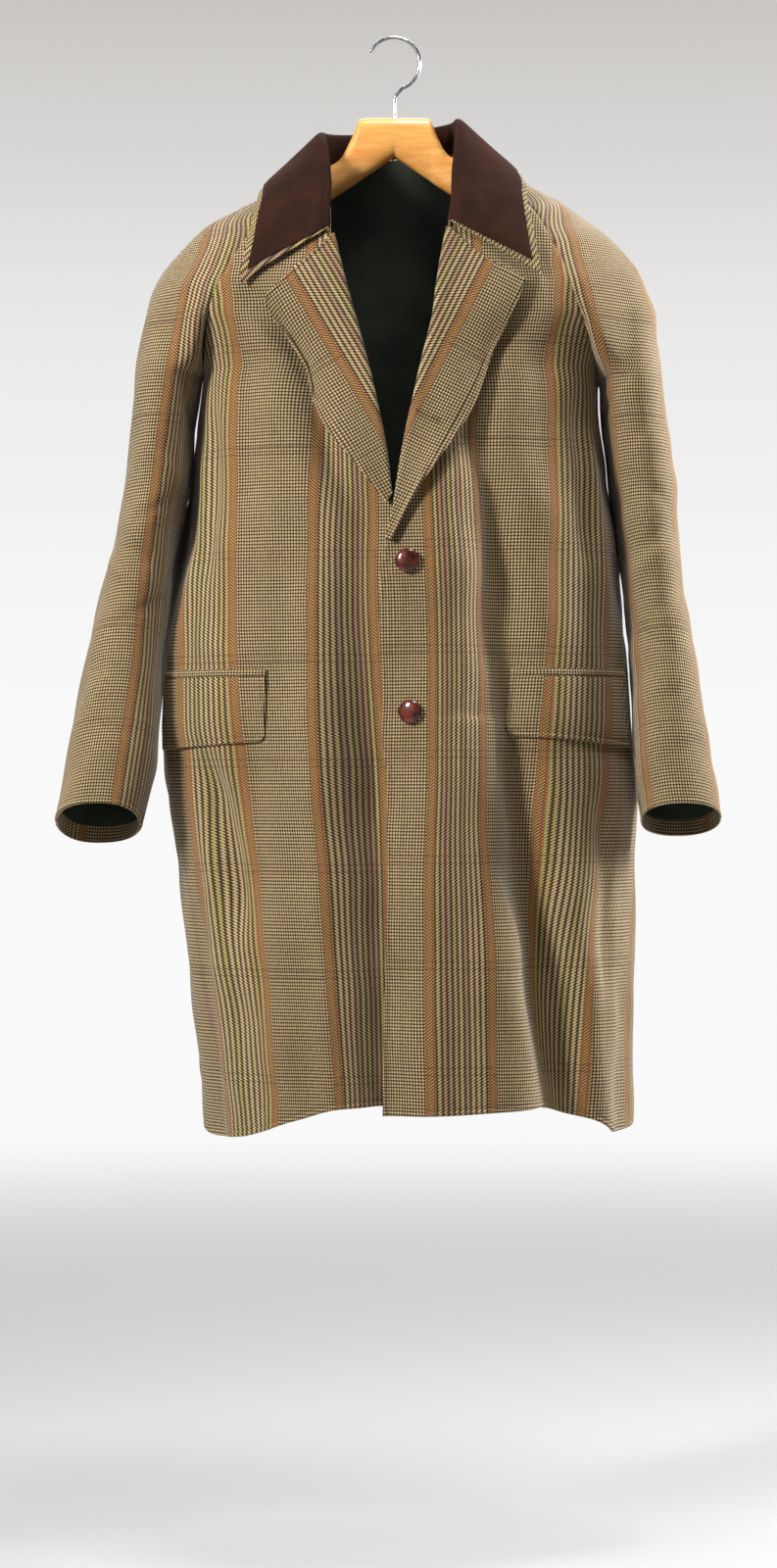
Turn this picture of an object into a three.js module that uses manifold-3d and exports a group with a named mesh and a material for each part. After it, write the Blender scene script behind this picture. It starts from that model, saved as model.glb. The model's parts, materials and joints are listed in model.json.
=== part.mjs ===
// A tweed raglan overcoat that hangs on a wooden hanger.
// Millimetres, +Z up, the coat faces -Y. The origin is the top of the inside of the hanger's hook.
// "left" and "right" are the wearer's: left is +X, right is -X.

import * as THREE from 'three';
import { mergeVertices } from 'three/addons/utils/BufferGeometryUtils.js';
import Module from 'manifold-3d';

// ---------------------------------------------------------------- driving sizes

const CLOTH = 2.4; // tweed with its lining behind it
const SEAM = 0.4; // gap between two pieces at a seam
const FACING = 1.8; // wall of a lapel
const UNDER_COLLAR = 1.6;
const VELVET = 1.3;
const LINING = 1.0;
const FLAP_WALL = 2.6;
const LAP_GAP = 1.1; // between cloths that lie on one another, so that their flat facets clear
const OVERLAP_LIFT = CLOTH + LAP_GAP; // the left front's lift where it laps the right one
const ROLL_LIFT = 4.0; // extra lift of the left front over the right lapel's end
const HEM = -1200;
const COLLAR_BORDER = 7.5; // tweed that shows round the velvet

const BUTTON = { radius: 12.8, height: 9.5, lowerZ: -751, upperZ: -589.5, lowerX: 20, upperX: 16.2, sink: 0.3 };
const HOOK = { inner: 27, wire: 2, tipTurn: 155, endTurn: -76, stemX: 1, seat: 20, clearance: 0.3 };

// Half widths and depths of the coat's body, level by level. "power" is the superellipse exponent.
const BODY = [
  { z: -100, right: 4, left: 20, front: 20, back: 42, mid: 6, power: 2 },
  { z: -120, right: 40, left: 58, front: 36, back: 60, mid: 6, power: 2 },
  { z: -140, right: 77, left: 100, front: 50, back: 72, mid: 6, power: 2 },
  { z: -160, right: 116, left: 144, front: 64, back: 84, mid: 5, power: 2 },
  { z: -178, right: 152, left: 179, front: 78, back: 93, mid: 4, power: 2 },
  { z: -196, right: 184, left: 205, front: 89, back: 100, mid: 2, power: 2.05 },
  { z: -218, right: 217, left: 233, front: 99, back: 107, mid: 0, power: 2.1 },
  { z: -240, right: 239, left: 256, front: 106, back: 112, mid: -2, power: 2.2 },
  { z: -262, right: 256, left: 271, front: 111, back: 116, mid: -3, power: 2.3 },
  { z: -283, right: 267, left: 280, front: 115, back: 119, mid: -4, power: 2.4 },
  { z: -310, right: 258, left: 273, front: 119, back: 122, mid: -4, power: 2.45 },
  { z: -335, right: 236, left: 251, front: 122, back: 124, mid: -3, power: 2.5 },
  { z: -358, right: 219, left: 234, front: 125, back: 126, mid: -2, power: 2.5 },
  { z: -378, right: 211, left: 226, front: 127, back: 128, mid: -2, power: 2.5 },
  { z: -430, right: 214, left: 226, front: 131, back: 131, mid: -2, power: 2.5 },
  { z: -500, right: 217, left: 235, front: 135, back: 133, mid: -2, power: 2.5 },
  { z: -560, right: 223, left: 243, front: 138, back: 136, mid: -2, power: 2.5 },
  { z: -620, right: 234, left: 247, front: 142, back: 140, mid: -2, power: 2.5 },
  { z: -690, right: 243, left: 254, front: 147, back: 144, mid: -2, power: 2.45 },
  { z: -770, right: 246, left: 260, front: 153, back: 149, mid: -2, power: 2.4 },
  { z: -850, right: 243, left: 268, front: 159, back: 153, mid: -2, power: 2.35 },
  { z: -930, right: 238, left: 268, front: 164, back: 157, mid: -2, power: 2.3 },
  { z: -1010, right: 230, left: 267, front: 168, back: 160, mid: -2, power: 2.3 },
  { z: -1090, right: 221, left: 266, front: 171, back: 163, mid: -2, power: 2.3 },
  { z: -1220, right: 208, left: 265, front: 174, back: 166, mid: -2, power: 2.3 },
];

// Half widths over the sleeves' heads, which go on outward where the body turns in under the arm.
const SHOULDER = [
  { z: -240, right: 239, left: 256 },
  { z: -262, right: 256, left: 271 },
  { z: -283, right: 267, left: 280 },
  { z: -310, right: 276, left: 290 },
  { z: -335, right: 281, left: 293 },
  { z: -358, right: 285, left: 295 },
  { z: -390, right: 288, left: 298 },
];

// Raglan seams from the neck to the underarm: the front's inner edge, the front seam,
// the back seam and the level of the shoulder line at each station. X is a distance from the middle.
const RAGLAN = {
  right: [
    { innerX: 73, innerZ: -158, frontX: 82, frontZ: -155, backX: 42, backZ: -134, ridgeZ: -141 },
    { innerX: 72, innerZ: -166, frontX: 98, frontZ: -165, backX: 68, backZ: -150, ridgeZ: -160 },
    { innerX: 70, innerZ: -178, frontX: 119, frontZ: -180, backX: 95, backZ: -170, ridgeZ: -178 },
    { innerX: 68, innerZ: -195, frontX: 138, frontZ: -198, backX: 126, backZ: -196, ridgeZ: -199 },
    { innerX: 67, innerZ: -215, frontX: 152, frontZ: -218, backX: 147, backZ: -220, ridgeZ: -221 },
    { innerX: 66.5, innerZ: -236, frontX: 166, frontZ: -240, backX: 166, backZ: -245, ridgeZ: -244 },
    { innerX: 61, innerZ: -262, frontX: 180, frontZ: -262, backX: 179, backZ: -268, ridgeZ: -267 },
    { innerX: 55, innerZ: -284, frontX: 192, frontZ: -284, backX: 190, backZ: -290, ridgeZ: -290 },
    { innerX: 50, innerZ: -305, frontX: 200, frontZ: -305, backX: 198, backZ: -310, ridgeZ: -310 },
    { innerX: 45, innerZ: -326, frontX: 205, frontZ: -326, backX: 204, backZ: -330, ridgeZ: -330 },
    { innerX: 39.5, innerZ: -345, frontX: 208, frontZ: -345, backX: 208, backZ: -347, ridgeZ: -348 },
    { innerX: 35.5, innerZ: -360, frontX: 209.5, frontZ: -360, backX: 209.5, backZ: -361, ridgeZ: -361 },
    { innerX: 32, innerZ: -371, frontX: 210.5, frontZ: -371, backX: 210.5, backZ: -371, ridgeZ: -371 },
    { innerX: 30, innerZ: -378, frontX: 211, frontZ: -378, backX: 211, backZ: -378, ridgeZ: -378 },
  ],
  left: [
    { innerX: 70, innerZ: -149, frontX: 78, frontZ: -146.5, backX: 38, backZ: -127, ridgeZ: -126 },
    { innerX: 68, innerZ: -158, frontX: 98, frontZ: -157, backX: 68, backZ: -143, ridgeZ: -142 },
    { innerX: 65.5, innerZ: -172, frontX: 122, frontZ: -172, backX: 98, backZ: -163, ridgeZ: -160 },
    { innerX: 62.5, innerZ: -190, frontX: 144, frontZ: -190, backX: 130, backZ: -188, ridgeZ: -182 },
    { innerX: 60.5, innerZ: -210, frontX: 160, frontZ: -210, backX: 152, backZ: -213, ridgeZ: -206 },
    { innerX: 58.5, innerZ: -230, frontX: 172, frontZ: -232, backX: 172, backZ: -238, ridgeZ: -231 },
    { innerX: 53, innerZ: -255, frontX: 183, frontZ: -255, backX: 186, backZ: -262, ridgeZ: -256 },
    { innerX: 50, innerZ: -278, frontX: 191, frontZ: -278, backX: 197, backZ: -285, ridgeZ: -281 },
    { innerX: 47, innerZ: -300, frontX: 198, frontZ: -300, backX: 205, backZ: -307, ridgeZ: -304 },
    { innerX: 44.4, innerZ: -322, frontX: 206, frontZ: -322, backX: 212, backZ: -328, ridgeZ: -327 },
    { innerX: 39.5, innerZ: -343, frontX: 214, frontZ: -343, backX: 218, backZ: -347, ridgeZ: -348 },
    { innerX: 35, innerZ: -361, frontX: 220, frontZ: -361, backX: 222, backZ: -363, ridgeZ: -363 },
    { innerX: 32.5, innerZ: -372, frontX: 223.5, frontZ: -372, backX: 224, backZ: -373, ridgeZ: -373 },
    { innerX: 30, innerZ: -382, frontX: 226, frontZ: -382, backX: 226, backZ: -382, ridgeZ: -382 },
  ],
};

// Front edges below the underarm: the roll line, then the edge that overlaps. X is signed.
const FRONT_EDGE = {
  right: [
    { z: -378, x: -30 },
    { z: -423, x: -20 },
    { z: -491, x: -6.5 },
    { z: -533, x: 0 },
    { z: -560, x: 16 },
    { z: -590, x: 36 },
    { z: -625, x: 47 },
    { z: -700, x: 50 },
    { z: -1220, x: 50 },
  ],
  left: [
    { z: -382, x: 30 },
    { z: -423, x: 20.9 },
    { z: -469, x: 11.4 },
    { z: -533, x: 0.8 },
    { z: -560, x: -5.5 },
    { z: -600, x: -13 },
    { z: -643, x: -14.9 },
    { z: -700, x: -13.5 },
    { z: -784, x: -10.7 },
    { z: -828, x: -6.5 },
    { z: -905, x: -6.5 },
    { z: -1006, x: -8.6 },
    { z: -1081, x: -11.7 },
    { z: -1220, x: -14 },
  ],
};

// Level of the hem round the coat, for each front and the back. Turn is in degrees, 0 in front.
const HEM_LEVEL = {
  right: [
    { turn: -90, z: -1204 },
    { turn: -70, z: -1213 },
    { turn: -50, z: -1209 },
    { turn: -38, z: -1200 },
    { turn: -26, z: -1188 },
    { turn: -12, z: -1175 },
    { turn: 20, z: -1170 },
  ],
  left: [
    { turn: -20, z: -1187 },
    { turn: 10, z: -1182 },
    { turn: 24, z: -1179 },
    { turn: 38, z: -1176 },
    { turn: 50, z: -1188 },
    { turn: 68, z: -1208 },
    { turn: 90, z: -1203 },
  ],
  back: [
    { turn: 90, z: -1203 },
    { turn: 180, z: -1200 },
    { turn: 270, z: -1204 },
  ],
};

// Sleeves below the underarm: distances from the middle, the section's middle and half depth
// from front to back, and how far the section pitches up at the front, in degrees.
const SLEEVE = {
  right: [
    { z: -300, outer: 272, inner: 200, mid: -4, depth: 78, pitch: 0 },
    { z: -378, outer: 287, inner: 212.5, mid: -2, depth: 84, pitch: 0 },
    { z: -430, outer: 292, inner: 221, mid: 0, depth: 86, pitch: 2 },
    { z: -500, outer: 298, inner: 227, mid: 0, depth: 84, pitch: 4 },
    { z: -560, outer: 309, inner: 238, mid: -5, depth: 80, pitch: 8 },
    { z: -620, outer: 324, inner: 246, mid: -15, depth: 75, pitch: 12 },
    { z: -680, outer: 336, inner: 253, mid: -31, depth: 69, pitch: 16 },
    { z: -740, outer: 347, inner: 256, mid: -52, depth: 62, pitch: 20 },
    { z: -800, outer: 357, inner: 258, mid: -75, depth: 55, pitch: 24 },
    { z: -871, outer: 367, inner: 275, mid: -98, depth: 50, pitch: 27 },
  ],
  left: [
    { z: -300, outer: 287, inner: 212, mid: -4, depth: 78, pitch: 0 },
    { z: -382, outer: 298, inner: 227.5, mid: -2, depth: 84, pitch: 0 },
    { z: -430, outer: 304, inner: 231, mid: 0, depth: 86, pitch: 2 },
    { z: -500, outer: 314, inner: 240, mid: 0, depth: 84, pitch: 4 },
    { z: -560, outer: 316, inner: 248, mid: -5, depth: 80, pitch: 8 },
    { z: -620, outer: 321, inner: 254, mid: -15, depth: 75, pitch: 11 },
    { z: -680, outer: 331, inner: 259, mid: -31, depth: 69, pitch: 14 },
    { z: -740, outer: 338, inner: 262, mid: -52, depth: 62, pitch: 17 },
    { z: -800, outer: 346, inner: 262, mid: -75, depth: 55, pitch: 20 },
    { z: -867, outer: 356, inner: 267, mid: -98, depth: 50, pitch: 22 },
  ],
};

// Largest folds, as soft troughs (negative depth) and ridges: where they start and end round the
// coat, their reach in height, their half width in degrees and their depth.
const FOLDS = [
  { topTurn: 24, lowTurn: 41, top: -760, low: -1260, width: 9, depth: -26 },
  { topTurn: 42, lowTurn: 52, top: -820, low: -1260, width: 9, depth: 12 },
  { topTurn: -22, lowTurn: -17, top: -800, low: -1260, width: 10, depth: -16 },
  { topTurn: -30, lowTurn: -34, top: -850, low: -1260, width: 8, depth: 10 },
  { topTurn: -62, lowTurn: -66, top: -860, low: -1240, width: 7, depth: -9 },
  { topTurn: 72, lowTurn: 70, top: -900, low: -1260, width: 8, depth: -8 },
  { topTurn: 128, lowTurn: 122, top: -640, low: -1260, width: 10, depth: -17 },
  { topTurn: 152, lowTurn: 150, top: -800, low: -1260, width: 9, depth: 11 },
  { topTurn: 184, lowTurn: 188, top: -560, low: -1260, width: 12, depth: -14 },
  { topTurn: 228, lowTurn: 234, top: -700, low: -1260, width: 10, depth: -18 },
  { topTurn: 208, lowTurn: 211, top: -860, low: -1260, width: 8, depth: 10 },
  { topTurn: 21, lowTurn: 16, top: -400, low: -760, width: 6, depth: -5 },
];

// Lapels: the roll line and the outer edge at each station, and how far the line between sags.
const LAPEL = {
  right: [
    { rollX: -67, rollZ: -234, edgeX: -140.3, edgeZ: -302, sag: 0 },
    { rollX: -59.5, rollZ: -268, edgeX: -137, edgeZ: -318, sag: 0 },
    { rollX: -51, rollZ: -302, edgeX: -129, edgeZ: -339, sag: 0 },
    { rollX: -41, rollZ: -338, edgeX: -115, edgeZ: -367, sag: 0 },
    { rollX: -33, rollZ: -368, edgeX: -99, edgeZ: -394, sag: 0 },
    { rollX: -26, rollZ: -396, edgeX: -80, edgeZ: -425, sag: 0 },
    { rollX: -20, rollZ: -423, edgeX: -60, edgeZ: -453, sag: 0 },
    { rollX: -13, rollZ: -456, edgeX: -39, edgeZ: -481, sag: 0 },
    { rollX: -6.5, rollZ: -491, edgeX: -20, edgeZ: -507, sag: 0 },
    { rollX: -2.5, rollZ: -518, edgeX: -8, edgeZ: -525, sag: 0 },
  ],
  left: [
    { rollX: 59.5, rollZ: -226, edgeX: 140, edgeZ: -283, sag: 6 },
    { rollX: 54, rollZ: -255, edgeX: 135, edgeZ: -299, sag: 3 },
    { rollX: 48.5, rollZ: -290, edgeX: 124, edgeZ: -326, sag: 0 },
    { rollX: 44.3, rollZ: -323, edgeX: 111, edgeZ: -357, sag: 0 },
    { rollX: 38, rollZ: -350, edgeX: 100, edgeZ: -384, sag: 0 },
    { rollX: 31, rollZ: -378, edgeX: 87, edgeZ: -412, sag: 0 },
    { rollX: 24, rollZ: -410, edgeX: 72, edgeZ: -438, sag: 0 },
    { rollX: 17, rollZ: -440, edgeX: 55, edgeZ: -466, sag: 0 },
    { rollX: 10.5, rollZ: -475, edgeX: 38, edgeZ: -493, sag: 0 },
    { rollX: 4.5, rollZ: -510, edgeX: 22, edgeZ: -520, sag: 0 },
    { rollX: -1, rollZ: -542, edgeX: 9, edgeZ: -548, sag: 0 },
    { rollX: -6, rollZ: -566, edgeX: -1, edgeZ: -568, sag: 0 },
  ],
};

// The turned edge of a lapel, across the roll line: distance past it and height over the front.
const LAPEL_ROLL = [
  { across: -2.4, out: -2.2 },
  { across: -3.8, out: 0.2 },
  { across: -3.2, out: 3.0 },
  { across: -0.8, out: 4.9 },
];
const LAPEL_SPREAD = [0.05, 0.14, 0.28, 0.46, 0.64, 0.82, 1];
const LAPEL_SWELL = 3.2; // how much the lapel stands off the front near its roll
const LAPEL_SWELL_REACH = 20;

// The collar, from the wearer's right end round the back of the neck to the left end: the neck
// seam, the height of the stand, and the outer edge. Turns are in degrees, 180 at the back.
const COLLAR = [
  { neckTurn: 343.9, neckZ: -231, stand: 5, edgeTurn: 326.3, edgeZ: -287 },
  { neckTurn: 340.4, neckZ: -209, stand: 7, edgeTurn: 323, edgeZ: -256 },
  { neckTurn: 333, neckZ: -180, stand: 13, edgeTurn: 318.7, edgeZ: -228.7 },
  { neckTurn: 318.6, neckZ: -158, stand: 22, edgeTurn: 308.4, edgeZ: -199 },
  { neckTurn: 295, neckZ: -145, stand: 30, edgeTurn: 289.7, edgeZ: -180 },
  { neckTurn: 270, neckZ: -141, stand: 36, edgeTurn: 269, edgeZ: -173 },
  { neckTurn: 243, neckZ: -138, stand: 36, edgeTurn: 246, edgeZ: -169 },
  { neckTurn: 217, neckZ: -132.5, stand: 35, edgeTurn: 216, edgeZ: -166 },
  { neckTurn: 180, neckZ: -120.5, stand: 34, edgeTurn: 180, edgeZ: -160 },
  { neckTurn: 150, neckZ: -125.5, stand: 35, edgeTurn: 144, edgeZ: -158 },
  { neckTurn: 120, neckZ: -126, stand: 36, edgeTurn: 114, edgeZ: -156 },
  { neckTurn: 90, neckZ: -126, stand: 36, edgeTurn: 91, edgeZ: -156 },
  { neckTurn: 58, neckZ: -133, stand: 30, edgeTurn: 70.5, edgeZ: -162 },
  { neckTurn: 36.7, neckZ: -147, stand: 22, edgeTurn: 47.8, edgeZ: -188 },
  { neckTurn: 24.2, neckZ: -168, stand: 13, edgeTurn: 37.4, edgeZ: -223 },
  { neckTurn: 17.3, neckZ: -198, stand: 7, edgeTurn: 32.8, edgeZ: -252 },
  { neckTurn: 13.2, neckZ: -223, stand: 5, edgeTurn: 30.6, edgeZ: -278 },
];
const COLLAR_FOLD = 3.6; // radius of the collar's fold
const VELVET_FOOT = 0.3; // the velvet starts this share of the way up the stand's first facet
const COLLAR_SPREAD = [0.1, 0.26, 0.44, 0.62, 0.8, 1];

// Pocket flaps: the front end at the top and foot, the end at the side, and the levels.
const FLAP = {
  right: { topX: -138.5, footX: -140, sideTurn: -77, topZ: -713, footFrontZ: -783, footSideZ: -791 },
  left: { topX: 136.5, footX: 129.5, sideTurn: 74, topZ: -712, footFrontZ: -776, footSideZ: -789 },
};
const FLAP_CORNER = 9;
const JET_HEIGHT = 8.5;
const JET_OUT = 2.6;

// The hanger's outline: the level of its top near the neck and of its underside, by distance
// from the middle. Past the neck the top follows the inside of the shoulders.
const HANGER_MIDDLE = 1;
const HANGER = [
  { x: 0, top: -88, foot: -131, depth: 13 },
  { x: 26, top: -88, foot: -149, depth: 13 },
  { x: 38, top: -89, foot: -157, depth: 13 },
  { x: 46, top: -106, foot: -163, depth: 13.5 },
  { x: 54, top: -122, foot: -168, depth: 14 },
  { x: 66, top: -139, foot: -176, depth: 15 },
  { x: 84, top: -152, foot: -187, depth: 16 },
  { x: 120, top: -170, foot: -208, depth: 18 },
  { x: 160, top: -189, foot: -228, depth: 21 },
  { x: 196, top: -214, foot: -246, depth: 24 },
  { x: 208, top: -226, foot: -246, depth: 22 },
];
const HANGER_BEND = 6; // the ends come forward with the shoulders

const COLOR = {
  tweed: 0x8c7253,
  velvet: 0x3c2117,
  lining: 0x2c332a,
  button: 0x6b2a14,
  wood: 0xfbc26b,
  steel: 0xb9bcc0,
};

// ---------------------------------------------------------------- small helpers

const clamp = (value, low, high) => Math.min(high, Math.max(low, value));
const lerp = (a, b, t) => a + (b - a) * t;
const smooth = (value) => {
  const t = clamp(value, 0, 1);
  return t * t * (3 - 2 * t);
};
const radians = (degrees) => (degrees * Math.PI) / 180;
const signedPower = (value, power) => Math.sign(value) * Math.abs(value) ** power;

// Reads a table as a smooth curve that never overshoots its rows (monotone cubic).
function tableCurve(rows, inKey, outKey) {
  const sorted = [...rows].sort((a, b) => a[inKey] - b[inKey]);
  const xs = sorted.map((row) => row[inKey]);
  const ys = sorted.map((row) => row[outKey]);
  const count = xs.length;
  const slopes = [];
  for (let i = 0; i < count - 1; i += 1) {
    slopes.push((ys[i + 1] - ys[i]) / (xs[i + 1] - xs[i]));
  }
  const tangents = [slopes[0]];
  for (let i = 1; i < count - 1; i += 1) {
    const before = slopes[i - 1];
    const after = slopes[i];
    tangents.push(before * after <= 0 ? 0 : (2 * before * after) / (before + after));
  }
  tangents.push(slopes[count - 2]);
  return (x) => {
    const at = clamp(x, xs[0], xs[count - 1]);
    let i = 0;
    while (i < count - 2 && at > xs[i + 1]) i += 1;
    const span = xs[i + 1] - xs[i];
    const t = (at - xs[i]) / span;
    const rise = ys[i + 1] - ys[i];
    const bend = t * (1 - t);
    return ys[i] + rise * t * t * (3 - 2 * t)
      + bend * span * (tangents[i] * (1 - t) - tangents[i + 1] * t);
  };
}

// Reads every column of a table by row number, for values between the rows.
function rowReader(rows) {
  const numbered = rows.map((row, index) => ({ ...row, index }));
  const curves = {};
  for (const key of Object.keys(rows[0])) {
    curves[key] = tableCurve(numbered, 'index', key);
  }
  return (index) => Object.fromEntries(Object.keys(curves).map((key) => [key, curves[key](index)]));
}

// ---------------------------------------------------------------- the body's form

const BODY_KEYS = ['right', 'left', 'front', 'back', 'mid', 'power'];
const bodyCurves = Object.fromEntries(BODY_KEYS.map((key) => [key, tableCurve(BODY, 'z', key)]));
const shoulderCurves = {
  right: tableCurve(SHOULDER, 'z', 'right'),
  left: tableCurve(SHOULDER, 'z', 'left'),
};
const SHOULDER_TOP = SHOULDER[0].z;

function halfWidth(side, z, overSleeves) {
  const curves = overSleeves && z < SHOULDER_TOP ? shoulderCurves : bodyCurves;
  return curves[side](z);
}

// How far the folds push the cloth out at one place round the coat.
function foldDepth(turn, z) {
  let depth = 0;
  for (const fold of FOLDS) {
    const along = (fold.top - z) / (fold.top - fold.low);
    if (along > 0 && along < 1) {
      const middle = lerp(fold.topTurn, fold.lowTurn, along);
      const away = ((turn - middle + 540) % 360) - 180;
      const across = Math.exp(-((away / fold.width) ** 2));
      depth += fold.depth * across * smooth(along * 1.4);
    }
  }
  return depth;
}

// A point on the outside of the coat. Turn is in degrees: 0 in front, 90 at the wearer's left.
function bodyPoint(turn, z, overSleeves = false) {
  const angle = radians(turn);
  const sine = Math.sin(angle);
  const cosine = Math.cos(angle);
  const power = 2 / bodyCurves.power(z);
  const width = halfWidth(sine < 0 ? 'right' : 'left', z, overSleeves);
  const depth = cosine > 0 ? bodyCurves.front(z) : bodyCurves.back(z);
  const fold = foldDepth((turn + 360) % 360, z);
  return new THREE.Vector3(
    width * signedPower(sine, power) + fold * sine,
    bodyCurves.mid(z) - depth * signedPower(cosine, power) - fold * cosine,
    z,
  );
}

// The turn at which the front, or the back, of the body lies at a given x.
function turnAt(x, z, back = false) {
  const width = halfWidth(x < 0 ? 'right' : 'left', z, false);
  const share = clamp(Math.abs(x) / width, 0, 1) ** (bodyCurves.power(z) / 2);
  const turn = (Math.asin(share) * 180) / Math.PI;
  const signed = Math.sign(x) * turn;
  return back ? 180 - signed : signed;
}

const TURN_STEP = 0.6;
const LEVEL_STEP = 2;

function bodyNormal(turn, z, overSleeves = false) {
  const around = bodyPoint(turn + TURN_STEP, z, overSleeves)
    .sub(bodyPoint(turn - TURN_STEP, z, overSleeves));
  const up = bodyPoint(turn, z + LEVEL_STEP, overSleeves)
    .sub(bodyPoint(turn, z - LEVEL_STEP, overSleeves));
  return around.cross(up).normalize();
}

// A point over the body, moved out by a distance along the body's own normal.
function overBody(turn, z, out) {
  return bodyPoint(turn, z).addScaledVector(bodyNormal(turn, z), out);
}

// ---------------------------------------------------------------- walls from grids of points

function trimRow(row, next, gap) {
  row.forEach((point, i) => {
    const inward = next[i].clone().sub(point);
    const length = inward.length();
    if (length > gap) point.addScaledVector(inward, gap / length);
  });
}

// Shortens a grid by half a seam at the sides named: 'first' and 'last' row, 'start' and 'end' column.
function trimGrid(grid, sides) {
  const rows = grid.length;
  const columns = grid[0].length;
  const half = SEAM / 2;
  if (sides.includes('first')) trimRow(grid[0], grid[1], half);
  if (sides.includes('last')) trimRow(grid[rows - 1], grid[rows - 2], half);
  for (const row of grid) {
    if (sides.includes('start')) trimRow([row[0]], [row[1]], half);
    if (sides.includes('end')) trimRow([row[columns - 1]], [row[columns - 2]], half);
  }
}

// Unit normals of a grid from its neighbouring points. Loops are joined where wrap is true.
function gridNormals(grid, wrap = false) {
  const rows = grid.length;
  const columns = grid[0].length;
  return grid.map((row, i) => row.map((_, j) => {
    const before = wrap && j === 0 ? columns - 2 : Math.max(j - 1, 0);
    const after = wrap && j === columns - 1 ? 1 : Math.min(j + 1, columns - 1);
    const across = grid[i][after].clone().sub(grid[i][before]);
    const along = grid[Math.min(i + 1, rows - 1)][j].clone().sub(grid[Math.max(i - 1, 0)][j]);
    return across.cross(along).normalize();
  }));
}

function offsetGrid(grid, normals, distance) {
  return grid.map((row, i) => row.map((point, j) => point.clone().addScaledVector(normals[i][j], distance)));
}

function signedVolume(positions, triangles) {
  let volume = 0;
  const corner = (index) => new THREE.Vector3().fromArray(positions, index * 3);
  for (let i = 0; i < triangles.length; i += 3) {
    const [a, b, c] = [0, 1, 2].map((k) => corner(triangles[i + k]));
    volume += a.dot(b.cross(c)) / 6;
  }
  return volume;
}

// A closed wall between two grids of points with the same rows and columns.
function wallGeometry(outer, inner, loop = false) {
  const rows = outer.length;
  const columns = loop ? outer[0].length - 1 : outer[0].length;
  const positions = [];
  for (const grid of [outer, inner]) {
    for (const row of grid) {
      for (let j = 0; j < columns; j += 1) positions.push(...row[j].toArray());
    }
  }
  const at = (layer, i, j) => layer * rows * columns + i * columns + (j % columns);
  const triangles = [];
  const quad = (a, b, c, d) => triangles.push(a, b, c, a, c, d);
  const steps = loop ? columns : columns - 1;
  for (let i = 0; i < rows - 1; i += 1) {
    for (let j = 0; j < steps; j += 1) {
      quad(at(0, i, j), at(0, i, j + 1), at(0, i + 1, j + 1), at(0, i + 1, j));
      quad(at(1, i, j), at(1, i + 1, j), at(1, i + 1, j + 1), at(1, i, j + 1));
    }
  }
  for (let j = 0; j < steps; j += 1) {
    quad(at(0, 0, j), at(1, 0, j), at(1, 0, j + 1), at(0, 0, j + 1));
    quad(at(0, rows - 1, j), at(0, rows - 1, j + 1), at(1, rows - 1, j + 1), at(1, rows - 1, j));
  }
  if (!loop) {
    for (let i = 0; i < rows - 1; i += 1) {
      quad(at(0, i, 0), at(0, i + 1, 0), at(1, i + 1, 0), at(1, i, 0));
      quad(at(0, i, steps), at(1, i, steps), at(1, i + 1, steps), at(0, i + 1, steps));
    }
  }
  if (signedVolume(positions, triangles) < 0) triangles.reverse();
  const geometry = new THREE.BufferGeometry();
  geometry.setAttribute('position', new THREE.Float32BufferAttribute(positions, 3));
  geometry.setIndex(triangles);
  geometry.computeVertexNormals();
  return geometry;
}

// ---------------------------------------------------------------- fronts and back

const SEAM_ROWS = RAGLAN.right.length - 1;
const CAP_STATIONS = [0, 1, 2, 3.1, 4.3, 5.5, 6.7, 7.9, 9, 10, 11.1, 12.2, 13];
const BODY_LEVELS = [0.06, 0.12, 0.155, 0.185, 0.22, 0.28, 0.35, 0.43, 0.52, 0.6, 0.68, 0.76, 0.84, 0.92, 1];
const HEM_SHAPE_TOP = -900;
const ROLL_INSET = 1.8;
const readRaglan = { right: rowReader(RAGLAN.right), left: rowReader(RAGLAN.left) };
const frontEdge = {
  right: tableCurve(FRONT_EDGE.right, 'z', 'x'),
  left: tableCurve(FRONT_EDGE.left, 'z', 'x'),
};
const hemLevel = {
  right: tableCurve(HEM_LEVEL.right, 'turn', 'z'),
  left: tableCurve(HEM_LEVEL.left, 'turn', 'z'),
  back: tableCurve(HEM_LEVEL.back, 'turn', 'z'),
};
const sign = { right: -1, left: 1 };

function underarmLevel(side) {
  return RAGLAN[side][SEAM_ROWS].frontZ;
}

// Pulls the lower rows to the level of the hem.
function hemmed(turn, z, piece) {
  const share = smooth((HEM_SHAPE_TOP - z) / (HEM_SHAPE_TOP - HEM));
  return z + (hemLevel[piece](turn) - HEM) * share;
}

// How far the left front is lifted where it laps over the right front and the end of its lapel.
function overlapLift(x, z) {
  const across = 1 - smooth((x - 56) / 70);
  const along = smooth((-430 - z) / 80);
  const roll = smooth((-450 - z) / 60) * (1 - smooth((-585 - z) / 60));
  return across * (OVERLAP_LIFT * along + ROLL_LIFT * roll);
}

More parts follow.
